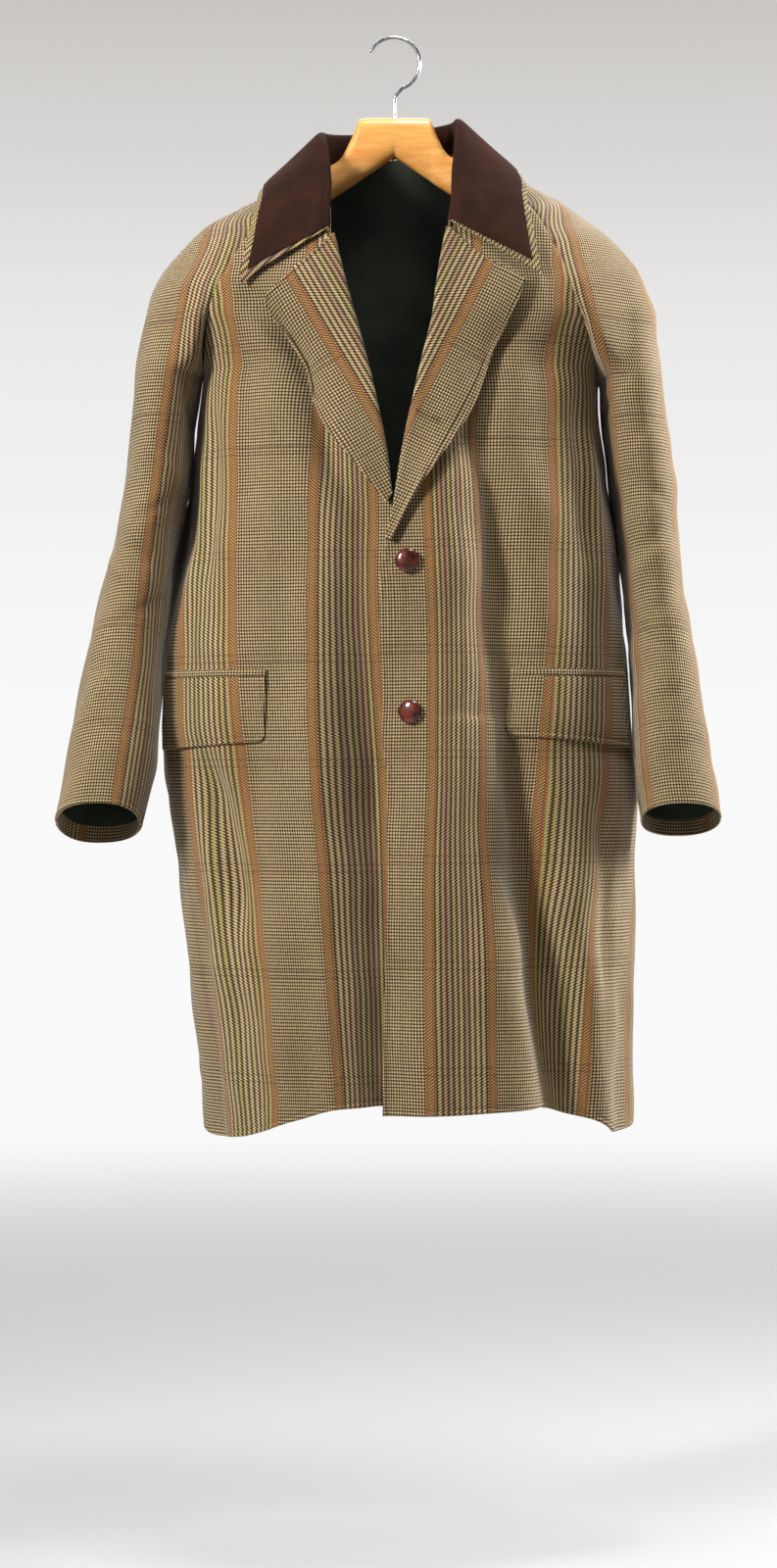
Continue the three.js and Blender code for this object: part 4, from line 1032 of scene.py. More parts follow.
# %% The tweed material
def tweed(name, only_rope=False):
    r = Recipe(name)
    uv = r.cloth_uv()
    true_u, true_v = (r.times(part, 1000.0) for part in r.split(uv))
    flat = r.join(true_u, true_v)
    u = r.add(true_u, r.times(r.add(r.noise(flat, 0.35, 2.0), -0.5), 0.7))
    v = r.add(true_v, r.times(r.add(r.noise(flat, 0.5, 1.0), -0.5), 0.5))
    color, height = rope_strokes(r, u, v)
    if not only_rope:
        place = r.maths("FLOORED_MODULO", u, REPEAT)
        from_first = r.maths("MINIMUM", place, r.maths("SUBTRACT", REPEAT, place))
        from_rust = r.maths("MINIMUM", from_first, r.away(place, STRIPE_WIDE))
        striped = r.maths("LESS_THAN", place, STRIPE_WIDE)
        check_color, dot = small_check(r, u, v)
        color = r.mix(striped, check_color, color)
        height = r.add(r.times(striped, height), r.times(r.maths("SUBTRACT", 1.0, striped), dot))
        color = overcheck(r, u, v, rust_pair(r, u, v, from_rust, color))
    wool = r.ramp(r.noise(flat, 1.6, 3.0, 0.7), 0.25, 0.75, 0.82, 1.16, False)
    cloud = r.ramp(r.noise(uv, 7.0, 3.0), 0.3, 0.7, -0.06, 0.06, False)
    shade = r.add(wool, cloud)
    color = r.mix(1.0, color, r.join(shade, shade, shade), "MULTIPLY")
    fuzz = r.noise(flat, 2.6, 2.0)
    normal = r.bump(r.add(height, r.times(fuzz, 0.9)), 0.0004, 0.55)
    return r.surface(color, 0.88, normal, Sheen_Weight=0.22, Sheen_Roughness=0.45,
                     Specular_IOR_Level=0.25)


TWEED = tweed("banded_tweed")
ROPE_TWEED = tweed("rope_tweed", only_rope=True)
print("tweed nodes:", len(TWEED.node_tree.nodes))

# %% [markdown]
# ## Velvet and satin
#
# Velvet is pile that stands up: it is nearly black where you look into it and lights up where it
# turns away, which is what a sheen layer does. Where the pile has been pressed it shows soft
# clouds. The lining is a thin satin, smooth enough to carry long, blurred highlights.

# %% Velvet and lining materials
def velvet():
    r = Recipe("brown_velvet")
    place = r.place()
    pressed = r.noise(place, 24.0, 4.0, 0.6)
    brushed = r.noise(r.place((30, 30, 9)), 2.2, 3.0, 0.6)
    pile = r.noise(place, 1500.0, 2.0, 0.6)
    clouds = r.ramp(r.add(pressed, r.times(brushed, 0.6)), 0.62, 1.0)
    color = r.mix(clouds, rgb(34, 13, 5), rgb(46, 20, 9))
    color = r.mix(r.ramp(pile, 0.35, 0.7, 0.0, 0.35), color, rgb(24, 10, 5))
    normal = r.bump(r.add(r.times(pile, 0.5), r.times(pressed, 3.0)), 0.0006, 0.5)
    return r.surface(color, 0.9, normal, Sheen_Weight=0.08, Sheen_Roughness=0.35,
                     Sheen_Tint=rgb(150, 74, 40), Specular_IOR_Level=0.15)


def satin():
    r = Recipe("green_satin")
    u, v = r.split(r.cloth_uv())
    twill = r.fraction(r.add(r.times(u, 1000.0), r.times(v, 1000.0)), 0.9)
    soft = r.noise(r.place(), 16.0, 2.0)
    color = r.mix(r.ramp(soft, 0.3, 0.7), rgb(38, 46, 36), rgb(58, 66, 54))
    normal = r.bump(r.add(r.times(twill, 0.08), r.times(soft, 1.2)), 0.002, 0.5)
    return r.surface(color, 0.42, normal, Specular_IOR_Level=0.45)


VELVET = velvet()
SATIN = satin()
print("velvet nodes:", len(VELVET.node_tree.nodes), "satin nodes:", len(SATIN.node_tree.nodes))

# %% [markdown]
# ## Fronts
#
# Each front is cut from its edge to the side seam. The left one laps over the right, and is lifted
# where it does. Rows of points run across the coat, from the neck to the hem.

# %% Fronts
SEAM_ROWS = 13  # the number of the last row of the raglan tables
CAP_LINES = 66
BODY_LENGTH, BODY_SPACING = 822, 5.5
FRONT_WIDTH, FRONT_SPACING = 300, 5.0
LAP_END, LAP_FADE, LAP_TOP = 56, 70, -430  # where the left front comes down onto the right one
ROLL_TOP, ROLL_FOOT = -450, -585  # the levels between which the lapel's end lifts it further
HEM_SHAPE_TOP = -900
ROLL_INSET = 1.8
LAPEL_FOOT = {"right": -518.0, "left": -566.0}
FACING_WIDTH = 75.0
HEM_TURNING = 38.0
read_raglan = {side: row_reader(RAGLAN[side]) for side in SIDES}
front_edge = {side: curve(FRONT_EDGE[side], "z", "x") for side in SIDES}
hem_level = {name: curve(HEM_LEVEL[name], "turn", "z") for name in HEM_LEVEL}
UNDERARM = {side: RAGLAN[side]["front_z"][-1] for side in SIDES}


def hemmed(turn, z, piece):
    """The level, moved towards the end so that the last row follows the hem."""
    share = smooth((HEM_SHAPE_TOP - z) / (HEM_SHAPE_TOP - HEM))
    return z + (hem_level[piece](turn) - HEM) * share


def overlap_lift(side, x, z):
    """How far the left front is lifted where it laps over the right front and its lapel's end."""
    across = (1 - smooth((x - LAP_END) / LAP_FADE)) * (side == "left")
    along = smooth((LAP_TOP - z) / 80)
    roll = smooth((ROLL_TOP - z) / 60) * (1 - smooth((ROLL_FOOT - z) / 60))
    return across * (OVERLAP_LIFT * along + ROLL_LIFT * roll)


def piece_levels(length, spacing):
    """Row numbers down a piece: the raglan seam's own rows, then one more down to the hem."""
    cap = np.linspace(0, SEAM_ROWS, CAP_LINES)
    return np.concatenate([cap, SEAM_ROWS + steps(length, spacing, fine_end=True)[1:]])


def front_places(side, levels, shares):
    row = read_raglan[side](levels)
    cap = levels <= SEAM_ROWS
    below = lerp(UNDERARM[side], HEM, levels - SEAM_ROWS)
    inner_z = np.where(cap, row["inner_z"], below)
    inset = SIGN[side] * ROLL_INSET * smooth((inner_z - LAPEL_FOOT[side]) / 25 + 1)
    inner_x = np.where(cap, SIGN[side] * row["inner_x"], front_edge[side](inner_z)) + inset
    inner = turn_at(inner_x, inner_z)
    outer_z = np.where(cap, row["front_z"], inner_z)
    outer = np.where(cap, turn_at(SIGN[side] * row["front_x"], row["front_z"]), 90.0 * SIGN[side])
    turn = lerp(inner[:, None], outer[:, None], shares)
    return turn, hemmed(turn, lerp(inner_z[:, None], outer_z[:, None], shares), side)


def make_front(side):
    levels = piece_levels(BODY_LENGTH, BODY_SPACING)
    shares = steps(FRONT_WIDTH, FRONT_SPACING, fine_start=True)
    turn, z = front_places(side, levels, shares)
    points = body_point(turn, z)
    normals = body_normal(turn, z)
    lift = overlap_lift(side, points[..., 0], z)
    uv = front_pattern(side, turn, z)
    across = line_lengths(points, 1)
    down = line_lengths(points, 0)
    from_hem = down[-1] - down
    relief = seam_relief(across[:, -1:] - across)
    relief = relief + slack(uv[..., 0] / MM, uv[..., 1] / MM, 1 + SIGN[side])
    below_roll = smooth((LAPEL_FOOT[side] + 40 - z) / 30)
    relief = relief + edge_relief(across) * below_roll + edge_relief(from_hem)
    outer = points + normals * (lift + relief)[..., None]
    inner = points + normals * (lift - CLOTH)[..., None]
    lined = (across[:-1, :-1] > FACING_WIDTH) & (from_hem[:-1, :-1] > HEM_TURNING)
    return wall(f"tweed_front_{side}", outer, inner, uv, [TWEED, SATIN], inside=lined)


made = {f"front_{side}": make_front(side) for side in SIDES}
print("front faces:", len(made["front_left"].data.polygons))

# %% [markdown]
# ## Back
#
# The back is one piece between the side seams and the two back raglan seams. Nobody sees the two
# ends of its pattern together, so its bands are simply centred.

# %% Back
BACK_NECK_RISE = 8
BACK_BAND_SHIFT = STRIPE_WIDE / 2 + REPEAT * 2


def make_back():
    levels = piece_levels(BODY_LENGTH, BODY_SPACING)
    shares = steps(520, BODY_SPACING)
    left, right = (read_raglan[side](levels) for side in ("left", "right"))
    start = turn_at(left["back_x"], left["back_z"], True)
    end = turn_at(-right["back_x"], right["back_z"], True)
    fall = np.clip(1 - levels / SEAM_ROWS, 0, 1)[:, None] ** 3
    rise = BACK_NECK_RISE * (1 - (2 * shares - 1) ** 2) * fall
    cap_turn = lerp(start[:, None], end[:, None], shares)
    cap_z = lerp(left["back_z"][:, None], right["back_z"][:, None], shares) + rise
    body_turn = np.broadcast_to(lerp(90, 270, shares), cap_turn.shape)
    top = lerp(UNDERARM["left"], UNDERARM["right"], shares)
    body_z = lerp(top, HEM, (levels - SEAM_ROWS)[:, None])
    cap = (levels <= SEAM_ROWS)[:, None]
    turn = np.where(cap, cap_turn, body_turn)
    z = np.where(cap, cap_z, hemmed(body_turn, body_z, "back"))
    points = body_point(turn, z)
    normals = body_normal(turn, z)
    across = line_lengths(points, 1)
    width = across[:, -1:]
    from_middle = across - width / 2
    uv = np.stack([from_middle + BACK_BAND_SHIFT, pattern_down("back", z)], axis=-1) * MM
    down = line_lengths(points, 0)
    from_hem = down[-1] - down
    relief = seam_relief(across) + seam_relief(width - across) + slack(from_middle, z, 4)
    outer = points + normals * (relief + edge_relief(from_hem))[..., None]
    lined = from_hem[:-1, :-1] > HEM_TURNING
    inner = points - normals * CLOTH
    return wall("tweed_back", outer, inner, uv, [TWEED, SATIN], inside=lined)


made["back"] = make_back()
print("back faces:", len(made["back"].data.polygons))

# %% [markdown]
# ## Sleeves
#
# A raglan sleeve starts as part of the coat's shoulder, between two slanting seams, and closes into
# a tube at the underarm. So its points are blended from the coat's own form into the sections of a
# tube. Elbow creases are short waves that run slantwise round the tube.

# %% Points on a sleeve
SLEEVE_POWER = 2.25
BLEND_FROM = 6
SEAM_PULL = 0.25
ROUND_STEP = 0.004
STATION_STEP = 0.02
read_sleeve = {s: {n: curve(SLEEVE[s], "z", n) for n in SLEEVE[s] if n != "z"} for s in SIDES}
SLEEVE_FOOT = {side: SLEEVE[side]["z"][-1] for side in SIDES}
SLEEVE_CREASES = {
    "right": table("""
level middle rise reach width depth
-452 0.3 26 0.16 9 -2.6
-470 0.24 30 0.15 7 1.6
-528 0.22 -22 0.14 8 -2.2
-574 0.28 24 0.17 9 -3.2
-596 0.33 20 0.15 8 2
-640 0.2 -18 0.13 8 -2.4
-705 0.3 16 0.15 8 -2
-610 0.8 22 0.15 9 -3
-560 0.72 -20 0.16 8 -2.2
-420 0.08 20 0.1 9 -3
-770 0.25 12 0.13 8 -1.6
-500 0.88 20 0.12 8 -2.2
"""),
    "left": table("""
level middle rise reach width depth
-440 0.28 24 0.15 9 -2.4
-505 0.24 -26 0.15 8 -2.2
-556 0.3 22 0.16 9 -3
-580 0.24 24 0.15 8 1.8
-628 0.31 18 0.15 9 -2.8
-672 0.19 -16 0.12 8 -2.2
-728 0.28 14 0.14 8 -1.8
-622 0.79 20 0.15 9 -2.8
-548 0.7 -18 0.15 8 -2
-416 0.07 18 0.1 9 -3
-786 0.3 10 0.12 8 -1.6
-470 0.86 22 0.12 8 -2.4
"""),
}


def tube_point(side, z, around):
    read = {name: value(z) for name, value in read_sleeve[side].items()}
    angle = around * 2 * math.pi
    half = (read["outer"] - read["inner"]) / 2
    middle = (read["outer"] + read["inner"]) / 2
    across = signed_power(np.cos(angle), 2 / SLEEVE_POWER)
    forward = signed_power(np.sin(angle), 2 / SLEEVE_POWER) * read["depth"]
    pitch = np.radians(read["pitch"])
    x = SIGN[side] * (middle - half * across)
    y = read["mid"] - forward * np.cos(pitch)
    return np.stack([x, y, z + forward * np.sin(pitch)], axis=-1)


print("right sleeve's end:", SLEEVE_FOOT["right"], "mm")

# %% [markdown]
# Over the shoulder the sleeve follows the body. On the way down it is blended into the tube, and
# its edges are pulled onto the raglan seams, so that no gap opens.

# %% From the shoulder into the tube
def head_point(side, row, around):
    front = np.abs(turn_at(row["front_x"], row["front_z"]))
    back = 180 - np.abs(turn_at(row["back_x"], row["back_z"]))
    share = np.abs(1 - 2 * around)
    end = np.where(around < 0.5, front, back)
    end_z = np.where(around < 0.5, row["front_z"], row["back_z"])
    turn = lerp(90, end, share)
    return body_point(SIGN[side] * turn, lerp(row["ridge_z"], end_z, share * share), True)


def seam_place(side, row, back):
    """The turn and level of the body at a raglan seam."""
    x, z = (row["back_x"], row["back_z"]) if back else (row["front_x"], row["front_z"])
    return turn_at(SIGN[side] * x, z, back), z


def sleeve_closing(side, row):
    """0 where the sleeve is still part of the shoulder, 1 where it is a whole tube."""
    top, foot = RAGLAN[side]["ridge_z"][BLEND_FROM], RAGLAN[side]["ridge_z"][-1]
    return smooth((top - row["ridge_z"]) / (top - foot))


def sleeve_point(side, level, around):
    level, around = np.broadcast_arrays(np.asarray(level, float), np.asarray(around, float))
    row = read_raglan[side](np.minimum(level, SEAM_ROWS))
    closing = sleeve_closing(side, row)[..., None]

    def raw(at):
        at = np.broadcast_to(at, level.shape)
        return lerp(head_point(side, row, at), tube_point(side, row["ridge_z"], at), closing)

    front_pull = (1 - smooth(around / SEAM_PULL))[..., None]
    back_pull = (1 - smooth((1 - around) / SEAM_PULL))[..., None]
    head = raw(around)
    head = head + (body_point(*seam_place(side, row, False)) - raw(0.0)) * front_pull
    head = head + (body_point(*seam_place(side, row, True)) - raw(1.0)) * back_pull
    foot = lerp(UNDERARM[side], SLEEVE_FOOT[side], np.maximum(level - SEAM_ROWS, 0))
    tube = tube_point(side, foot, around % 1)
    return np.where((level > SEAM_ROWS)[..., None], tube, head)


print("underarm of the left sleeve:", np.round(sleeve_point("left", SEAM_ROWS, 0.0), 1), "mm")

# %% [markdown]
# Relief is added along the normal. At a raglan seam it is shared with the body, so that both
# pieces meet in one line.

# %% Normals and creases of a sleeve
def sleeve_normal(side, level, around):
    whole = level >= SEAM_ROWS
    low, high = around - ROUND_STEP, around + ROUND_STEP
    low = np.where(whole, low % 1, np.clip(low, 0, 1))
    high = np.where(whole, high % 1, np.clip(high, 0, 1))
    across = sleeve_point(side, level, high) - sleeve_point(side, level, low)
    down = np.clip(level + STATION_STEP, 0, SEAM_ROWS + 1)
    up = np.clip(level - STATION_STEP, 0, SEAM_ROWS + 1)
    along = sleeve_point(side, down, around) - sleeve_point(side, up, around)
    normal = unit(np.cross(across, along)) * -SIGN[side]
    row = read_raglan[side](np.minimum(level, SEAM_ROWS))
    apart = sleeve_closing(side, row)[..., None]
    for back in (False, True):
        near = (around > 1 - ROUND_STEP) if back else (around < ROUND_STEP)
        shared = body_normal(*seam_place(side, row, back))
        blended = unit(normal * apart + shared * (1 - apart))
        normal = np.where((near & (level < SEAM_ROWS))[..., None], blended, normal)
    return normal


def crease_height(side, points, around):
    """The sleeve's own creases, each a slanting wave of its own reach round the tube."""
    rows = SLEEVE_CREASES[side]
    height = np.zeros(around.shape)
    for level, middle, rise, reach, width, depth in zip(*rows.values()):
        away = around - middle
        line = level + rise * away / reach
        across = np.exp(-(((points[..., 2] - line) / width) ** 2))
        height += depth * across * smooth(1.4 * (1 - np.abs(away) / reach))
    return height


print("creases on a sleeve:", len(SLEEVE_CREASES["left"]["level"]))

# %% [markdown]
# The rust line on each sleeve is the one thing that the eye follows from shoulder to cuff, so its
# place is given by a table too, as a distance from the coat's middle.

# %% Sleeve pieces
SLEEVE_RUST = {
    "right": table("""
z x
-200 196
-252 213
-282 227
-325 235.7
-400 246.4
-475 256
-550 264.6
-614 272
-701 278
-786 288.5
-871 299.8
"""),
    "left": table("""
z x
-202 185
-250 199
-303.6 212
-345 224
-382 235
-432 240
-500 247
-614 259
-701 266
-828 272
-867 276
"""),
}
SLEEVE_OVERCHECK = {"right": 541.0, "left": 541.4}
SLEEVE_SPACING = 5.0
SLEEVE_LINES = 97
CREASES_START = 9  # the row of the raglan tables below which a sleeve creases


def sleeve_pattern(side, levels, around):
    """The cloth's own measures over the whole sleeve, across and down, in metres."""
    level, at = np.meshgrid(levels, around, indexing="ij")
    points = sleeve_point(side, level, at)
    across = line_lengths(points, 1)
    ridge, foremost = len(around) // 2, len(around) // 4
    across = across - across[:, [ridge]]
    front = around <= 0.5
    rust = curve(SLEEVE_RUST[side], "z", "x")(points[:, 0, 2])
    out = points[:, front, 0] * SIGN[side]
    out = np.minimum.accumulate(out[:, ::-1], axis=1)[:, ::-1]
    place = np.array([np.interp(rust[i], out[i], across[i, front]) for i in range(len(levels))])
    place = settle(place, 4)
    down = line_lengths(points[:, [foremost]], 0)[:, 0]
    zero = np.interp(SLEEVE_OVERCHECK[side], -points[:, foremost, 2], down)
    u = across - place[:, None] + STRIPE_WIDE
    return points, np.stack([u, np.broadcast_to((down - zero)[:, None], u.shape)], axis=-1) * MM


def make_sleeve(side):
    levels = piece_levels(UNDERARM[side] - SLEEVE_FOOT[side], SLEEVE_SPACING)
    around = np.linspace(0, 1, SLEEVE_LINES)
    points, uv = sleeve_pattern(side, levels, around)
    level, at = np.meshgrid(levels, around, indexing="ij")
    normals = sleeve_normal(side, level, at)
    lengths = line_lengths(points, 1)
    down = line_lengths(points, 0)
    from_cuff = down[-1] - down
    half = len(around) // 2
    ridge = np.abs(lengths - lengths[:, [half]])
    seams = seam_relief(lengths) + seam_relief(lengths[:, -1:] - lengths) + seam_relief(ridge)
    relief = seams + edge_relief(from_cuff)
    relief = relief + slack(uv[..., 0] / MM, uv[..., 1] / MM, 6 + SIGN[side])
    relief = relief + crease_height(side, points, at) * smooth((level - CREASES_START) / 4)
    outer = points + normals * relief[..., None]
    inner = points - normals * CLOTH
    pieces = {}
    for name, cut in (("front", slice(0, half + 1)), ("back", slice(half, None))):
        pieces[f"sleeve_{name}_{side}"] = wall(
            f"tweed_sleeve_{name}_{side}", outer[:, cut], inner[:, cut], uv[:, cut], [TWEED])
    return pieces


for side in SIDES:
    made.update(make_sleeve(side))
print("sleeve pieces made:", sum(name.startswith("sleeve") for name in made))

# %% [markdown]
# ## Cuff lining
#
# Inside each cuff the tweed is turned in for about three centimetres, and then the satin lining
# begins. It is a short tube that follows the sleeve's inside, a little slack.

# %% Cuff lining
LINING = 1.0
LINING_TOP, LINING_FOOT = 0.72, 0.9658  # shares of the way from the underarm to the cuff
LINING_ROWS, LINING_COLUMNS, LINING_RIPPLES = 26, 73, 9
LINING_GAP, LINING_SLACK = 0.4, 0.5


def make_lining(side):
    levels = SEAM_ROWS + np.linspace(LINING_TOP, LINING_FOOT, LINING_ROWS)
    level, at = np.meshgrid(levels, np.linspace(0, 1, LINING_COLUMNS), indexing="ij")
    points = sleeve_point(side, level, at)
    normals = sleeve_normal(side, level, at)
    uv = np.stack([line_lengths(points, 1), line_lengths(points, 0)], axis=-1) * MM
    slackness = 0.5 + 0.5 * np.sin(at * 2 * math.pi * LINING_RIPPLES + level * 40)
    outer = points - normals * (CLOTH + LINING_GAP + LINING_SLACK * slackness)[..., None]
    inner = outer - normals * LINING
    return wall(f"satin_lining_{side}", outer, inner, uv, [SATIN], closed=True)


for side in SIDES:
    made[f"sleeve_lining_{side}"] = make_lining(side)
    print(f"lining faces, {side}:", len(made[f"sleeve_lining_{side}"].data.polygons))

# %% [markdown]
# ## Lapels
#
# A lapel is the front's own facing, turned out along the roll line. Its section goes round the roll
# in a soft curve, stands off the chest, and settles towards its outer edge. The stripes of the
# facing run parallel to that outer edge.

# %% Lapels
FACING = 1.8
LAPEL = {
    "right": table("""
roll_x roll_z edge_x edge_z sag
-67 -234 -140.3 -302 0
-59.5 -268 -137 -318 0
-51 -302 -129 -339 0
-41 -338 -115 -367 0
-33 -368 -99 -394 0
-26 -396 -80 -425 0
-20 -423 -60 -453 0
-13 -456 -39 -481 0
-6.5 -491 -20 -507 0
-2.5 -518 -8 -525 0
"""),
    "left": table("""
roll_x roll_z edge_x edge_z sag
59.5 -226 140 -283 6
54 -255 135 -299 3
48.5 -290 124 -326 0
44.3 -323 111 -357 0
38 -350 100 -384 0
31 -378 87 -412 0
24 -410 72 -438 0
17 -440 55 -466 0
10.5 -475 38 -493 0
4.5 -510 22 -520 0
-1 -542 9 -548 0
-6 -566 -1 -568 0
"""),
}
LAPEL_ROLL = table("""
across out
-2.4 -2.2
-3.8 0.2
-3.2 3
-0.8 4.9
""")
LAPEL_SWELL = 3.2
LAPEL_SWELL_REACH = 20
LAPEL_STANDS_OFF = 9.0
LAPEL_LENGTH, LAPEL_SPACING = 330, 5.0
LAPEL_SPREAD = np.linspace(0.06, 1, 15)  # shares of the width, from the roll to the outer edge
SMALL_LAPEL = 30  # a lapel narrower than this has a smaller roll
STRAIGHT_PART = (0.1, 0.85)  # the part of the outer edge that the stripes run along
LAPEL_BAND_INSET = {"right": 37.0, "left": 42.0}  # from the outer edge to the rust pair


def through(points, per_step, axis=1):
    """A smooth line through each row of points (Catmull-Rom), with more points between them."""
    points = np.moveaxis(points, axis, 0)
    before = np.concatenate([2 * points[:1] - points[1:2], points[:-1]])
    after = np.concatenate([points[1:], 2 * points[-1:] - points[-2:-1]])
    slope = (after - before) / 2
    t = np.arange(per_step)[:, None, None] / per_step
    shape = (len(points) - 1, per_step) + points.shape[1:]
    a, b = points[:-1, None], points[1:, None]
    ma, mb = slope[:-1, None], slope[1:, None]
    t = t.reshape((1, per_step) + (1,) * (points.ndim - 1))
    line = (a * (2 * t**3 - 3 * t**2 + 1) + ma * (t**3 - 2 * t**2 + t)
            + b * (3 * t**2 - 2 * t**3) + mb * (t**3 - t**2))
    line = np.concatenate([line.reshape((shape[0] * per_step,) + points.shape[1:]), points[-1:]])
    return np.moveaxis(line, 0, axis)


print("rows of the lapels:", [len(LAPEL[side]["sag"]) for side in SIDES])

# %% [markdown]
# Each column of points has its own height over the front: the first few go round the roll, and
# the rest stand off the chest.

# %% Making the lapels
def lapel_grid(side, numbers):
    row = read_lapel[side](numbers)
    roll = np.stack([row["roll_x"], row["roll_z"]], axis=-1)
    edge = np.stack([row["edge_x"], row["edge_z"]], axis=-1)
    width = np.linalg.norm(edge - roll, axis=-1)
    direction = (edge - roll) / width[:, None]
    small = np.clip(width / SMALL_LAPEL, 0.4, 1)
    columns, places = [], []

    def add_column(place, height):
        x, z = place[:, 0], place[:, 1]
        columns.append(over_body(turn_at(x, z), z, height + overlap_lift(side, x, z)))
        places.append(place)

    for across, out in zip(LAPEL_ROLL["across"], LAPEL_ROLL["out"]):
        height = out * lerp(0.75, 1, small) if out > 0 else np.full(len(small), out)
        add_column(roll + direction * (across * small)[:, None], height)
    for share in LAPEL_SPREAD:
        place = roll + direction * (width * share)[:, None]
        place[:, 1] -= row["sag"] * math.sin(math.pi * share)
        swell = LAPEL_SWELL * small * np.exp(-(width * share) / LAPEL_SWELL_REACH)
        swell = swell + LAPEL_STANDS_OFF * small * share**2
        add_column(place, LAP_GAP + FACING + swell)
    return np.stack(columns, axis=1), np.stack(places, axis=1)


def make_lapel(side):
    count = len(LAPEL[side]["sag"])
    numbers = (count - 1) * steps(LAPEL_LENGTH, LAPEL_SPACING, fine_start=True)
    grid, places = (through(lines, 3) for lines in lapel_grid(side, numbers))
    start, end = (places[int(len(numbers) * share), -1] for share in STRAIGHT_PART)
    down = (end - start) / np.linalg.norm(end - start)
    offset = places - start
    along = offset @ down
    inward = np.abs(offset[..., 0] * down[1] - offset[..., 1] * down[0])
    u = STRIPE_WIDE + LAPEL_BAND_INSET[side] - inward
    uv = np.stack([u, along + 20], axis=-1) * MM
    lengths = line_lengths(grid, 1)
    from_edge = lengths[:, -1:] - lengths
    from_top = line_lengths(grid, 0)
    fade = smooth(lengths / 14)
    relief = (edge_relief(from_edge) * smooth(lengths[:, -1:] / 20) + edge_relief(from_top)) * fade
    facing = -1 if side == "left" else 1
    normals = grid_normals(grid, facing)
    outer = grid + normals * relief[..., None]
    inner = grid - normals * FACING
    return wall(f"tweed_lapel_{side}", outer, inner, uv, [TWEED])


read_lapel = {side: row_reader(LAPEL[side]) for side in SIDES}
for side in SIDES:
    made[f"lapel_{side}"] = make_lapel(side)
    print(f"lapel rows, {side}:", len(surfaces[f"tweed_lapel_{side}"]))

# %% [markdown]
# ## Collar
#
# The collar is one band: up the stand inside the neck, over a fold and down to its edge. The tweed
# under collar is cut a little larger than the velvet one, so its edge shows as a border all round.

# %% Collar
UNDER_COLLAR = 1.6
VELVET_WALL, VELVET_GAP = 1.3, 0.35
VELVET_FOOT = 0.02  # the share of the way up the stand at which the velvet starts
COLLAR_BORDER = 9.0
COLLAR_FOLD, COLLAR_LEAN = 3.6, 3.0
COLLAR_RISE = 4.2  # how much further off the coat its edge lies than its fold
COLLAR_SPREAD = (0.1, 0.26, 0.44, 0.62, 0.8, 1)
COLLAR_ROWS, VELVET_ROWS = 193, 161
COLLAR = table("""
neck_turn neck_z stand edge_turn edge_z
343.9 -231 5 326.3 -287
340.4 -209 7 323 -256
333 -180 13 318.7 -228.7
318.6 -158 22 308.4 -199
295 -145 30 289.7 -180
270 -141 36 269 -173
243 -138 36 246 -169
217 -132.5 35 216 -166
180 -120.5 34 180 -160
150 -125.5 35 144 -158
120 -126 36 114 -156
90 -126 36 91 -156
58 -133 30 70.5 -162
36.7 -147 22 47.8 -188
24.2 -168 13 37.4 -223
17.3 -198 7 32.8 -252
13.2 -223 5 30.6 -278
""")
read_collar = row_reader(COLLAR)


def collar_grid(numbers):
    row = read_collar(numbers)
    neck = over_body(row["neck_turn"], row["neck_z"], np.full(len(numbers), LAP_GAP))
    outward = body_point(row["edge_turn"], row["edge_z"]) - neck
    outward[:, 2] = 0
    outward = unit(outward)
    radius = np.minimum(COLLAR_FOLD, row["stand"] * 0.45)
    lean = np.minimum(COLLAR_LEAN, row["stand"] * 0.08)
    shoulder = row["stand"] - radius

    def at(across, height):
        point = neck + outward * np.asarray(across)[:, None]
        point[:, 2] = neck[:, 2] + height
        return point

    columns = [at(0 * lean, 0 * lean), at(-lean * 0.5, shoulder * 0.55), at(-lean, shoulder)]
    for angle in np.radians([135, 90, 45]):
        across = radius * (1 + math.cos(angle)) - lean
        columns.append(at(across, shoulder + radius * math.sin(angle)))
    for share in COLLAR_SPREAD:
        turn = lerp(row["neck_turn"], row["edge_turn"], share)
        z = lerp(row["neck_z"], row["edge_z"], share)
        lift = UNDER_COLLAR + LAP_GAP + 0.3 + COLLAR_RISE * share
        point = over_body(turn, z, np.full(len(numbers), lift))
        point[:, 2] += row["stand"] * (1 - share) ** 0.95
        columns.append(point)
    return through(np.stack(columns, axis=1), 5)


collar_points = collar_grid(np.linspace(0, len(COLLAR["stand"]) - 1, COLLAR_ROWS))
collar_normals = grid_normals(collar_points, -1)
collar_across = line_lengths(collar_points, 1)
collar_along = line_lengths(collar_points, 0)


print("collar length:", round(float(collar_along[-1, -1])), "mm")

# %% [markdown]
# Both layers use one grid. The velvet lies a border's width inside its edges, plump in the
# middle.

# %% Under collar and velvet
def make_under_collar():
    grid, normals = collar_points, collar_normals
    along = collar_along - collar_along[-1] / 2
    uv = np.stack([along + collar_across, collar_across - along], axis=-1)
    uv = uv * math.sqrt(0.5) * MM  # cut on the cross, so its strokes run slantwise
    from_edge = collar_across[:, -1:] - collar_across
    relief = edge_relief(from_edge * 1.4) * 0.6
    outer = grid + normals * relief[..., None]
    inner = grid - normals * UNDER_COLLAR
    return wall("tweed_under_collar", outer, inner, uv, [ROPE_TWEED])


